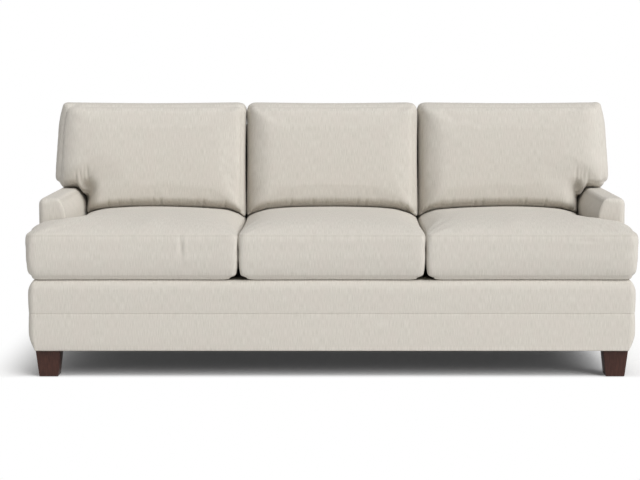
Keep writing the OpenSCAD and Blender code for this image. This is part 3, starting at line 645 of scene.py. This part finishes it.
def seat_cushion_form(name, node, side):
    """Seat cushion: full crown over a firm boxing, held at both of its seams while it fills."""
    corners = seat_outline(side)
    meeting = (1, 3) if side == 0 else (1,)
    obj = plain_cushion(node, name)
    q = seat_local(points(obj))
    inside, facing, _ = edge_distance(q[:, :2], corners)
    was = round_off(inside / dome_run)
    # Long rolls at the front and rear, and a steeper shoulder where the cushions meet
    shoulder = 60 * mm
    long = round_off(sides_distance(q[:, :2], corners, (0, 2)) / dome_run)
    meets = sides_distance(q[:, :2], corners, meeting)
    crown = long * (round_off(meets / shoulder) + round_off(meets / dome_run)) / 2
    full = 0.82
    if side:
        # The crown is full where it meets the arm's front, and sinks a little along the arm's inside
        outer_run, ear_run, arm_run, full_run, sink_run = 115 * mm, 9 * mm, 12 * mm, 90 * mm, 140 * mm
        sink_length, sink_share, fuller = 400 * mm, 0.55, 0.22
        outer, ear, beside = (sides_distance(q[:, :2], corners, (k,)) for k in (5, 4, 3))
        back = np.clip((q[:, 1] - arm_front) / sink_length, 0, 1)
        sink = 1 - sink_share * back * (1 - round_off(beside / sink_run))
        crown = crown * round_off(outer / outer_run) * round_off(ear / ear_run) * sink * round_off(beside / arm_run)
        full = full + fuller * np.exp(-(ear / full_run) ** 2)
    ratio = np.clip(crown / np.maximum(was, 0.02), 0.2, 6)
    q[:, 2] = np.where(q[:, 2] > seat_boxing, seat_boxing + (q[:, 2] - seat_boxing) * ratio * full, q[:, 2])
    q[:, 2] = np.minimum(q[:, 2], seat_boxing + seat_crown)
    # The sides stand fullest at the top seam
    stand, stand_height, stand_depth = 5 * mm, 30 * mm, 22 * mm
    here = stand * np.exp(-((q[:, 2] - seat_boxing) / stand_height) ** 2) * np.exp(-(inside / stand_depth) ** 2)
    q[:, :2] -= facing * here[:, None]
    # The front is fullest at half its height
    bulge, margin, bulge_depth = 5 * mm, 12 * mm, 40 * mm
    here = np.sin(math.pi * np.clip((q[:, 2] + margin) / (seat_boxing + 2 * margin), 0, 1))
    q[:, 1] -= bulge * here * np.clip(1 - (q[:, 1] - seat_front) / bulge_depth, 0, 1)
    # Lower edges, as side, reach and rise in mm: long and low where cushions meet, smaller outside and in front
    rounds = [(k, 62, 20) for k in meeting] + ([(5, 36, 32)] if side else []) + [(0, 26, 20)]
    for k, reach, rise in rounds:
        q = ease_side(q, corners, k, reach * mm, rise * mm)
    put_points(obj, seat_world(q))
    keep(obj, "rest", q)
    # The boxing is firmer than the top
    fill_cover(obj, q, inside, seat_boxing, 4.0, np.where(q[:, 2] < seat_boxing, 0.3, 1.0)[:, None])
    # A cushion lies flat against its neighbours, the arm and the back
    p = points(obj)
    if side:
        corner_depth, behind = 40 * mm, 2 * mm
        p[:, 0] = np.minimum(p[:, 0], -seam_plane - meet_gap)
        arm_face = arm_in + arm_full * soft((p[:, 1] - arm_front) / arm_full_depth) + rest_gap
        p[:, 0] = np.where(p[:, 1] > arm_front + behind, np.maximum(p[:, 0], arm_face), p[:, 0])
        ahead = (p[:, 0] < arm_in) & (p[:, 1] < arm_front + corner_depth)
        p[:, 1] = np.where(ahead, np.minimum(p[:, 1], arm_front - rest_gap), p[:, 1])
    else:
        p[:, 0] = np.clip(p[:, 0], -seam_plane + meet_gap, seam_plane - meet_gap)
    p[:, 1] = np.minimum(p[:, 1], inside_y(p[:, 2]) - rest_gap)
    p[:, 2] = np.maximum(p[:, 2], seat_z)
    put_points(obj, p)
    return obj


def round_ear(q, out, low, reach, rise):
    """Rounds the ear's lower outer corner in its outline, for points that lie over the arm."""
    shift, lift = ease(np.maximum(q[:, 0] + out, 0), np.maximum(q[:, 1] - low, 0), reach, rise)
    q[:, 0] += np.where(q[:, 0] < -side_x, shift, 0)
    q[:, 1] += np.where(q[:, 0] < -side_x, lift, 0)


def lift_ear(q, lean):
    """The ear rests on the arm at its rear only: its front stands clear, and its face leans back downwards."""
    rise, fade, arm_run, below = 23 * mm, 110 * mm, 26 * mm, 8 * mm
    high = q[:, 1] - ear_z
    front = np.clip(q[:, 2] / back_boxing, 0, 1.2)
    free = soft((-side_x - q[:, 0]) / arm_run)
    q[:, 1] += rise * front * free * np.clip(1 - high / fade, 0, 1) ** 2 * (high > -below)
    near_ear = soft((-side_x + 50 * mm - q[:, 0]) / (80 * mm))
    fall = np.clip(1 - np.abs(high) / fade, 0, 1) ** 2
    q[:, 2] -= lean * near_ear * fall * np.clip(q[:, 2] / back_boxing, 0, 1) ** 2


def back_cushion_form(name, node, side):
    """Back cushion: soft rounds of different size from its face to each side, held behind while it fills."""
    corners = back_outline(side)
    meeting = (1, 3) if side == 0 else (1,)
    obj = plain_cushion(node, name)
    q = back_local(points(obj))
    # The face lies almost flat, and falls a little towards its edges
    inside, _, _ = edge_distance(q[:, :2], corners)
    edge_w, middle_w, face_run = 214 * mm, 228 * mm, 260 * mm
    face = edge_w + (middle_w - edge_w) * round_off(inside / face_run)
    over = np.clip((q[:, 2] - back_boxing) / (back_crown * np.maximum(round_off(inside / dome_run), 0.1)), 0, 1)
    q[:, 2] = np.where(q[:, 2] < back_boxing, q[:, 2] * edge_w / back_boxing, edge_w + over * (face - edge_w))
    # Rounds off the face, as side, reach and rise in mm: where cushions meet, bottom, top, ear and beside the arm
    rounds = [(k, 40, 46) for k in meeting] + [(0, 34, 56), (2, 40, 60)] + ([(3, 90, 75), (5, 76, 150)] if side else [])
    for k, reach, rise in rounds:
        q = ease_side(q, corners, k, reach * mm, rise * mm, face)
    if side:
        round_ear(q, ear_x, ear_z, 36 * mm, 46 * mm)
        # It is widest above the arm, bows out a little, and draws in at its top
        wider, bow, draw, draw_run = 6, 5, 18, 100 * mm
        reach = np.clip((-side_x - q[:, 0]) / (ear_x - side_x), 0, 1)
        top = np.clip(1 - (back_high_z - q[:, 1]) / draw_run, 0, 1)
        half_way = np.sin(math.pi * np.clip((q[:, 1] - ear_z) / (back_high_z - ear_z), 0, 1))
        q[:, 0] -= (wider + bow * half_way - draw * top ** 2) * mm * reach
        # Its lower edge
        arm_run, edge_reach, edge_rise = 40 * mm, 28 * mm, 54 * mm
        over = soft((-side_x + arm_run - q[:, 0]) / arm_run)
        shift, lift = ease(np.maximum(q[:, 1] - ear_z, 0), np.maximum(face - q[:, 2], 0), edge_reach, edge_rise)
        q[:, 1] += shift * over
        q[:, 2] -= lift * over
        lift_ear(q, 30 * mm)
    put_points(obj, back_world(q))
    keep(obj, "rest", q)
    fill_cover(obj, q, inside, back_seam, 2.5, 0.28)
    # The cushions touch each other where they meet
    p = points(obj)
    end_run = 60 * mm
    near_end = np.clip(1 - (seam_plane - np.abs(p[:, 0])) / end_run, 0, 1) if side == 0 else (
        np.clip(1 - np.abs(p[:, 0] + seam_plane) / end_run, 0, 1))
    gap = (seam_plane if side == 0 else -seam_plane) - meet_gap - p[:, 0].max()
    p[:, 0] += near_end * gap * (np.sign(p[:, 0]) if side == 0 else 1)
    # The arm's full inside presses into it
    if side:
        arm_face = arm_in + arm_full * soft((arm_top - p[:, 2]) / arm_full_height) + rest_gap
        p[:, 0] = np.where(p[:, 2] < arm_top - 4 * mm, np.maximum(p[:, 0], arm_face), p[:, 0])
    put_points(obj, p)
    return obj


def settle_back(obj, seat_trees):
    """The back cushion's lower corners hang into the hollows between the seats."""
    run, deepest, clear, above = 150 * mm, 46 * mm, 0.8 * mm, 0.8
    p = points(obj)
    share = np.clip((p[:, 2] - back_low_z) / run, 0, 1)
    fall = (1 - share) ** 2 * (1 + 2 * share)
    move = np.zeros(len(p))
    # The seats' height under each point
    for i in np.nonzero(p[:, 2] < back_low_z + run)[0]:
        hits = [tree.ray_cast(Vector((p[i, 0], p[i, 1], above)), Vector((0, 0, -1)))[0] for tree in seat_trees]
        best = max([back_low_z - deepest] + [hit.z for hit in hits if hit is not None])
        move[i] = best + clear - back_low_z
    p[:, 2] += move * fall
    put_points(obj, p)


def mirrored(obj, name):
    """A copy of a piece on the other side, with its faces still outwards."""
    made = bpy.data.objects.new(name, obj.data.copy())
    scene.collection.objects.link(made)
    made.data.name = name
    put_points(made, points(made) * (-1, 1, 1))
    rest = kept(made, "rest") * (-1, 1, 1)
    made.data.attributes["rest"].data.foreach_set("vector", rest.astype(np.float32).ravel())
    turn_over(made)
    return made


cushion_forms = {}
for kind, form in (("seat", seat_cushion_form), ("back", back_cushion_form)):
    left = form(f"{kind}_cushion_left", f"{kind}_cover_left", -1)
    middle = form(f"{kind}_cushion_center", f"{kind}_cover_center", 0)
    if kind == "back":
        trees = []
        for made in cushion_forms.values():
            mesh = bmesh.new()
            mesh.from_mesh(made.data)
            trees.append(BVHTree.FromBMesh(mesh))
            mesh.free()
        settle_back(left, trees)
        settle_back(middle, trees)
    right = mirrored(left, f"{kind}_cushion_right")
    cushion_forms.update({(kind, "left"): left, (kind, "center"): middle, (kind, "right"): right})


def slacken(obj, end):
    """The left end of a back cushion, whose face has sunk more than at its right end."""
    deep, run = 34 * mm, 92 * mm
    q = back_local(points(obj))
    here = deep * np.clip(1 - (q[:, 0] - end) / run, 0, 1) ** 2
    q[:, 2] -= here * np.clip(q[:, 2] / back_boxing, 0, 1) ** 2
    put_points(obj, back_world(q))


def press(obj, marks):
    """Small folds and dents: each has a place on the rest shape, a size along its three axes, and a depth."""
    q = kept(obj, "rest")
    depth = np.zeros(len(q))
    for place, size, deep in marks:
        away = (q - np.array(place)) / np.array(size)
        depth += deep * np.exp(-(away ** 2).sum(axis=1))
    put_points(obj, points(obj) - normals(obj) * depth[:, None])


def sew(obj, level, corners, depth, puckers, shade):
    """The seam round a cushion: a narrow groove with painted shade along it, and short folds running off it."""
    half_width, fold_height, within = 4 * mm, 26 * mm, 30 * mm
    spacing, drift = 47 * mm, 330 * mm
    q = kept(obj, "rest")
    inside, _, along = edge_distance(q[:, :2], corners)
    off = (q[:, 2] - level) / half_width
    line = np.exp(-off ** 2) * (inside < within)
    uneven = 0.5 + 0.5 * np.sin(along * 2 * math.pi / spacing + 2.1 * np.sin(along * 2 * math.pi / drift))
    fold = np.exp(-((q[:, 2] - level) / fold_height) ** 2) * (inside < within) * uneven ** 6
    put_points(obj, points(obj) - normals(obj) * (line * depth + fold * puckers)[:, None])
    # Painted shade along the seam's groove, kept for the cloth's colour
    keep(obj, "seam", line * shade * (0.75 + 0.25 * uneven))


def foam_form(side):
    """Foam core of an outer back cushion, cut round beside the arm as its cover is."""
    wrap, thinner = 20 * mm, 34 * mm
    word = "left" if side < 0 else "right"
    obj = outer_shell("back_core_left", f"back_foam_{word}")
    apply(obj, "REMESH", mode="VOXEL", voxel_size=VOXEL, adaptivity=0)
    q = back_local(points(obj))
    corners = back_outline(-1)
    corners[5] = (corners[5][0] + wrap, corners[5][1] + wrap)
    corners[0] = (corners[0][0] + wrap, corners[0][1])
    q = ease_side(q, corners, 5, 60 * mm, 118 * mm, back_boxing)
    # Its ear is thinner
    q[:, 2] -= thinner * soft((-side_x + 40 * mm - q[:, 0]) / (70 * mm)) * (q[:, 2] > back_boxing / 2)
    round_ear(q, ear_x - wrap, ear_z + wrap, 40 * mm, 50 * mm)
    lift_ear(q, 24 * mm)
    put_points(obj, back_world(q) * (-side, 1, 1))
    apply(obj, "SMOOTH", factor=0.5, iterations=1)
    if side > 0:
        turn_over(obj)
    active(obj)
    bpy.ops.object.shade_smooth_by_angle(angle=math.radians(40))
    return dress(obj, slots["cushion_foam"], f"back_{word}", [f"back_core_{word}"])


# Folds beside the arms: place across in metres, height over the ear's bottom and depth in mm
notch = [((x, ear_z + up * mm, 195 * mm), (3.8 * mm, 24 * mm, 90 * mm), deep * mm)
         for x, up, deep in ((-0.975, 44, 3.4), (-0.958, 46, 5.0), (-0.945, 50, 3.4), (-0.930, 56, 5.4))]
# The hollow below them, and the ear's top corner, which stands out
hollow = [((-side_x + 26 * mm, ear_z + 26 * mm, 195 * mm), (26 * mm, 44 * mm, 90 * mm), 9 * mm),
          ((-side_x + 4 * mm, ear_z - 6 * mm, 170 * mm), (20 * mm, 30 * mm, 90 * mm), 8 * mm)]
tip = [((-ear_x + ear_lean + 8 * mm, back_high_z, 110 * mm), (14 * mm, 14 * mm, 90 * mm), -4 * mm)]


def hem_folds(first, last, seed):
    """Short upright folds along the bottom of a back cushion's face, unevenly spaced."""
    spacing, up, size = 54 * mm, 14 * mm, (5 * mm, 15 * mm, 60 * mm)
    count = int((last - first) / spacing)
    return [((first + (last - first) * (k + 0.5 + 0.32 * math.sin(seed + 2.3 * k)) / count, back_low_z + up, 200 * mm),
             size, (2.6 + 1.3 * math.sin(seed * 2 + 1.7 * k)) * mm) for k in range(count)]


creases = {
    ("back", "left"): notch + hollow + tip + hem_folds(-side_x + 60 * mm, -seat_in, 1) + [
        ((-0.30, back_high_z - 62 * mm, 215 * mm), (9 * mm, 40 * mm, 60 * mm), 1.6 * mm)],
    ("back", "center"): hem_folds(-middle_x, middle_x, 4) + [
        ((0.31, back_high_z - 118 * mm, 215 * mm), (7 * mm, 36 * mm, 60 * mm), 1.6 * mm)],
    ("back", "right"): hem_folds(seat_in, side_x - 60 * mm, 7) + [
        ((-x, v, w), size, depth * share) for marks, share in ((notch, 0.9), (hollow, 0.5), (tip, 1.4))
        for (x, v, w), size, depth in marks],
    ("seat", "left"): [((-0.527, seat_front, 118 * mm), (9 * mm, 40 * mm, 40 * mm), 3.2 * mm),
                       ((-0.512, seat_front, 122 * mm), (8 * mm, 40 * mm, 36 * mm), -1.6 * mm)],
    ("seat", "center"): [((0.12, seat_front, 60 * mm), (60 * mm, 40 * mm, 24 * mm), 1.6 * mm)],
    ("seat", "right"): [((0.885, seat_front, 140 * mm), (34 * mm, 40 * mm, 7 * mm), 1.8 * mm)],
}

for (kind, word), obj in cushion_forms.items():
    side = {"left": -1, "center": 0, "right": 1}[word]
    outline = (seat_outline if kind == "seat" else back_outline)(-abs(side))
    if side > 0:
        outline = [(-x, y) for x, y in outline][::-1]
    if kind == "back" and side >= 0:
        slacken(obj, -seam_plane if side == 0 else seam_plane)
    press(obj, creases[kind, word])
    if kind == "seat":
        sew(obj, seat_boxing, outline, 0.7 * mm, 0.5 * mm, 0.28)
    else:
        sew(obj, back_seam, outline, 2.2 * mm, 1.4 * mm, 0.8)
    finish_cloth(obj)
    dress(obj, fabric, f"{kind}_{word}", [f"{kind}_cover_{word}"])

for side in (-1, 1):
    foam_form(side)

# Fixed upholstery
skin_x = -frame_x
arm_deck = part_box("arm_cover_left")[0].z
# Blocks reach back this far before their rear is put on the back's slope
past_rear = 0.45


def arm(side):
    """Arm: a padded cover over its front and top in one soft roll, sewn at a crisp edge to the flat inside."""
    word = "left" if side < 0 else "right"
    low = np.array((arm_out + 1 * mm, arm_front, arm_deck))
    high = np.array((arm_in, past_rear, arm_top))
    obj = block(f"arm_{word}", low, high)
    apply(obj, "REMESH", mode="VOXEL", voxel_size=6 * mm, adaptivity=0)
    p = points(obj)
    # Radii across, in depth and in height, which change from the outer edge to the inner one
    share = soft((p[:, 0] - low[0]) / (high[0] - low[0]))
    outer, inner = np.array((22, 26, 24)) * mm, np.array((8, 8, 10)) * mm
    size = outer + (inner - outer) * share[:, None]
    core = p.copy()
    core[:, 0] = np.clip(p[:, 0], low[0] + outer[0], high[0] - inner[0])
    size[:, 0] = np.where(p[:, 0] < core[:, 0], outer[0], inner[0])
    core[:, 1] = np.maximum(p[:, 1], low[1] + size[:, 1])
    core[:, 2] = np.minimum(p[:, 2], high[2] - size[:, 2])
    e = (p - core) / size
    long = np.linalg.norm(e, axis=1)
    p = core + size * e * (np.abs(e).max(axis=1) / np.maximum(long, 1e-6))[:, None]
    # The seam's place, before the rest is smoothed, and the share of painted shade along it
    half_width, tone, overlap = 4.5 * mm, 0.2, 4 * mm
    edge = (np.abs(p[:, 0] - high[0]) < overlap) & (p[:, 2] > deck_z)
    along_top = np.abs(p[:, 2] - (high[2] - inner[2])) < half_width
    along_front = np.abs(p[:, 1] - (low[1] + inner[1])) < half_width
    seam = edge & ((along_top & (p[:, 1] > low[1] + inner[1] - overlap)) |
                   (along_front & (p[:, 2] < high[2] - inner[2] + overlap)))
    # The inside leans away from the seat towards the top, up to where it meets the back, and is full below
    lean, lean_height, lean_end = 24 * mm, 70 * mm, 100 * mm
    lean = lean * soft((inside_y(p[:, 2]) - p[:, 1]) / lean_end)
    p[:, 0] -= lean * share * np.clip(1 - (high[2] - p[:, 2]) / lean_height, 0, 1) ** 2
    full = arm_full * share * soft((high[2] - p[:, 2]) / arm_full_height)
    p[:, 0] += full * soft((p[:, 1] - low[1]) / arm_full_depth)
    p[:, 1] = np.minimum(p[:, 1], outside_y(p[:, 2]) - panel_t - 0.5 * mm)
    put_points(obj, p)
    # Painted shade along the arm's seam, kept for the cloth's colour
    keep(obj, "seam", seam * tone)
    apply(obj, "SMOOTH", factor=0.5, iterations=2)
    apply(obj, "SUBSURF", levels=1, render_levels=1)
    if side > 0:
        put_points(obj, points(obj) * (-1, 1, 1))
        turn_over(obj)
    finish_cloth(obj)
    return dress(obj, fabric, "sofa_body", [f"arm_cover_{word}", f"arm_front_{word}"])


def arm_side(side):
    """Outside of an arm: a flat panel sewn on from under the arm's top down to the base."""
    under_top, step, behind = 26 * mm, 30 * mm, 30 * mm
    word = "left" if side < 0 else "right"
    obj = block(f"arm_side_{word}", (arm_out, arm_front, leg_z), (skin_x, past_rear, arm_top - under_top))
    cut(obj, (0, 0, deck_z), (0, 0, 1))
    cut(obj, (0, 0, deck_z + step), (0, 0, 1))
    p = points(obj)
    p[:, 1] = np.where(p[:, 1] > 0, outside_y(p[:, 2]) - panel_t, p[:, 1])
    p[:, 1] = np.where((p[:, 1] < arm_front + 1 * mm) & (p[:, 2] > deck_z + 1 * mm), arm_front + behind, p[:, 1])
    put_points(obj, p)
    # All its outer edges but the two cuts
    pick(obj, "EDGE", lambda c, d: near(c.x, arm_out) and not (
        abs(d.y) > 0.5 and (near(c.z, deck_z) or near(c.z, deck_z + step))))
    soften(4 * mm, 4)
    if side > 0:
        put_points(obj, points(obj) * (-1, 1, 1))
    outwards(obj)
    finish_cloth(obj, 35)
    return dress(obj, fabric, "sofa_body", [f"outside_arm_{word}"])


def band(name, node, low, high, top_r, low_r):
    """Padded band round the front and sides of the base, round at its corners and full between its seams."""
    cuts, swell_by, sharp = 14, 2.4 * mm, 10 * mm
    obj = block(name, (-base_x, base_front, low), (base_x, arm_front, high))
    pick(obj, "FACE", lambda c, n: abs(n.z) > 0.9 or n.y > 0.9)
    bpy.ops.mesh.delete(type="FACE")
    leave()
    pad = base_x - frame_x
    pick(obj, "EDGE", lambda c, d: abs(d.z) > 0.9 and near(c.y, base_front))
    soften(pad, 8)
    outwards(obj)
    # An open skin has no outside of its own, so its long front decides
    front = max(obj.data.polygons, key=lambda face: face.area * near(face.center.y, base_front))
    if front.normal.y > 0:
        turn_over(obj)
    apply(obj, "SOLIDIFY", thickness=pad - 0.2 * mm, offset=-1)
    outwards(obj)
    first = low + low_r + 4 * mm
    last = high - top_r * 1.75 - 2 * mm
    for k in range(cuts):
        cut(obj, (0, 0, first + (last - first) * k / (cuts - 1)), (0, 0, 1))

    def outer(c):
        return c.y < base_front + 1 * mm or abs(c.x) > base_x - 1 * mm or (
            abs(c.x) > frame_x and c.y < base_front + pad and
            math.hypot(abs(c.x) - frame_x, c.y - base_front - pad) > pad - 2 * mm)

    for level, r in ((high, top_r), (low, low_r)):
        pick(obj, "EDGE", lambda c, d: near(c.z, level) and abs(d.z) < 0.1 and outer(c) and c.y < arm_front - 0.5 * mm)
        soften(r, 6)
    # The roll along the top is 1.7 times as high as it is deep
    p = points(obj)
    if top_r > sharp:
        top = (p[:, 2] > high - top_r - 0.1 * mm) & (np.abs(p[:, 2] - high) > 0.1 * mm)
        p[:, 2] = np.where(top, high - (high - p[:, 2]) * 1.7, p[:, 2])
        put_points(obj, p)
        p = points(obj)
    # Fullness between the seams
    share = np.clip((p[:, 2] - low) / (high - low), 0, 1)
    full = swell_by * np.sin(math.pi * share) ** 0.6
    centre = np.column_stack([np.clip(p[:, 0], -frame_x, frame_x), np.clip(p[:, 1], base_front + pad, None)])
    away = p[:, :2] - centre
    reach = np.linalg.norm(away, axis=1, keepdims=True)
    away = np.where(reach > pad * 0.5, 1.0, 0.0) * (away / np.maximum(reach, 1e-6))
    p[:, :2] += away * full[:, None] - away * swell_by * 0.75
    # Its ends draw in towards the deck or the legs
    if top_r > low_r:
        draw = 10 * mm * np.clip(1 - (high - p[:, 2]) / (52 * mm), 0, 1) ** 2
    else:
        draw = 21 * mm * np.clip(1 - (p[:, 2] - low) / (66 * mm), 0, 1) ** 2
    p[:, 0] -= np.sign(p[:, 0]) * draw * np.clip((np.abs(p[:, 0]) - base_x + pad) / pad, 0, 1)
    put_points(obj, p)
    outwards(obj)
    finish_cloth(obj, 40)
    return dress(obj, fabric, "sofa_body", [node])


for side in (-1, 1):
    arm(side)
    arm_side(side)
# The seam shows a little lower than where the CAD's bands meet
base_seam = seam_z - 7 * mm
seam_r, deck_r, hem_r = 1.4 * mm, 20 * mm, 4 * mm
band("base_band_upper", "border_upper", base_seam, deck_z, deck_r, seam_r)
band("base_band_lower", "border_lower", leg_z, base_seam, seam_r, hem_r)


def back_front():
    """Padded front of the back, which turns over its top and steps in between the arms."""
    obj = block("back_upholstery", (arm_in, 0, deck_z), (-arm_in, 100 * mm, back_top))
    cut(obj, (0, 0, arm_top), (0, 0, 1))
    for side in (-1, 1):
        pick(obj, "FACE", lambda c, n: n.x * side > 0.9 and c.z > arm_top)
        bpy.ops.mesh.extrude_region_move(TRANSFORM_OT_translate={"value": (side * (arm_in - arm_out), 0, 0)})
        leave()
    p = points(obj)
    p[:, 1] = np.where(p[:, 1] > 50 * mm, outside_y(p[:, 2]) - panel_t, inside_y(p[:, 2]))
    put_points(obj, p)
    pick(obj, "EDGE", lambda c, d: near(c.z, back_top) and c.y < outside_y(back_top) - panel_t - 5 * mm or (
        near(abs(c.x), -arm_out) and c.y < inside_y(c.z) + 5 * mm))
    soften(14 * mm, 5)
    outwards(obj)
    finish_cloth(obj, 35)
    return dress(obj, fabric, "sofa_body", ["inside_back"])


def back_rear():
    """Plain panel over the rear of the back and base, soft at its sewn edges."""
    obj = block("back_rear_panel", (arm_out, 0, leg_z), (-arm_out, panel_t, back_top))
    pick(obj, "EDGE", lambda c, d: c.y > panel_t * 0.9)
    soften(5 * mm, 4)
    p = points(obj)
    p[:, 1] += outside_y(p[:, 2]) - panel_t
    put_points(obj, p)
    outwards(obj)
    finish_cloth(obj, 35)
    return dress(obj, fabric, "sofa_body", ["outside_back"])


back_front()
back_rear()


# Legs
def leg_piece(node, like=None):
    """Square tapered leg with its edges eased, or a copy of one."""
    foot_share, cuts = 67 / 87, 3
    low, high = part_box(node)
    if like is None:
        obj = block(node + "_wood", low, high)
        pick(obj, "FACE", lambda c, n: n.z < -0.9)
        bpy.ops.transform.resize(value=(foot_share, foot_share, 1))
        leave()
        for k in range(cuts):
            cut(obj, (0, 0, low.z + (high.z - low.z) * (k + 1) / (cuts + 1)), (0, 0, 1))
        apply(obj, "BEVEL", width=2.2 * mm, segments=3, limit_method="ANGLE", angle_limit=math.radians(40))
        outwards(obj)
    else:
        obj = bpy.data.objects.new(node + "_wood", like.data.copy())
        scene.collection.objects.link(obj)
        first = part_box("leg_front_left")[0]
        put_points(obj, points(obj) + (low.x - first.x, low.y - first.y, 0))
    active(obj)
    bpy.ops.object.shade_smooth_by_angle(angle=math.radians(30))
    return dress(obj, wood_leg, "sofa_body", [node])


first_leg = leg_piece("leg_front_left")
for node in ("leg_front_right", "leg_back_left", "leg_back_right"):
    leg_piece(node, first_leg)

# Floor, light and background
def sees_plain(tree):
    """1 for rays from the camera, off a glossy surface and through a clear one, which see plain white."""
    path = add(tree, "LightPath")
    seen = add(tree, "Math", links={0: path.outputs["Is Camera Ray"], 1: path.outputs["Is Glossy Ray"]},
               operation="MAXIMUM")
    return add(tree, "Math", links={0: seen, 1: path.outputs["Is Transmission Ray"]}, operation="MAXIMUM")


white, floor_grey = (1, 1, 1, 1), (0.8, 0.8, 0.8, 1)
bpy.ops.object.select_all(action="DESELECT")
bpy.ops.mesh.primitive_plane_add(size=40, location=(0, 0, 0))
floor = bpy.context.object
floor.name = "studio_floor"
floor_paint, tree = new_material("studio_floor_paint")
place = add(tree, "TexCoord")
split = add(tree, "SeparateXYZ", links={0: place.outputs["Object"]})
wide = add(tree, "Math", links={0: split.outputs["X"]}, operation="ABSOLUTE")
# For rays from the camera the floor turns to plain white glow, which paints out its shadow past these places in metres
# beside the sofa, before it and behind it
# Near the sofa a little of that glow stays, a painted lift of the shadow under it
painted_shadow_lift = 0.03
fades = [add(tree, "MapRange", {"From Min": first, "From Max": last, "To Min": painted_shadow_lift},
             {"Value": source}, interpolation_type="SMOOTHSTEP")
         for first, last, source in ((1.02, 1.29, wide), (-0.37, -0.45, split.outputs[1]),
                                     (0.62, 0.95, split.outputs[1]))]
ends = add(tree, "Math", links={0: fades[0], 1: fades[1]}, operation="MAXIMUM")
far = add(tree, "Math", links={0: ends, 1: fades[2]}, operation="MAXIMUM")
seen = sees_plain(tree)
bare = add(tree, "Math", links={0: seen, 1: far}, operation="MULTIPLY")
paint = add(tree, "BsdfDiffuse", {"Color": floor_grey})
bright = add(tree, "BsdfDiffuse", {"Color": white})
skin = add(tree, "MixShader", links={0: seen, 1: paint, 2: bright})
glow = add(tree, "Emission", {"Color": white, "Strength": 1.0})
mix = add(tree, "MixShader", links={0: bare, 1: skin, 2: glow})
add(tree, "OutputMaterial", links={"Surface": mix})
floor.data.materials.append(floor_paint)

world = bpy.data.worlds.new("studio")
scene.world = world
world.use_nodes = True
tree = world.node_tree
tree.nodes.clear()
ambient = add(tree, "Background", {"Color": white, "Strength": 0.4})
backdrop = add(tree, "Background", {"Color": white, "Strength": 1.0})
mix = add(tree, "MixShader", links={0: sees_plain(tree), 1: ambient, 2: backdrop})
add(tree, "OutputWorld", links={"Surface": mix})

# One broad soft lamp from the front right
sun = bpy.data.lights.new("key_light", "SUN")
sun.energy = 2.5
sun.angle = math.radians(45)
key = bpy.data.objects.new("key_light", sun)
scene.collection.objects.link(key)
azimuth, elevation = math.radians(43), math.radians(38)
level = math.cos(elevation)
toward = Vector((math.sin(azimuth) * level, -math.cos(azimuth) * level, math.sin(elevation)))
key.rotation_euler = toward.to_track_quat("Z", "Y").to_euler()
key.location = toward * 5

scene.view_settings.view_transform = "Standard"
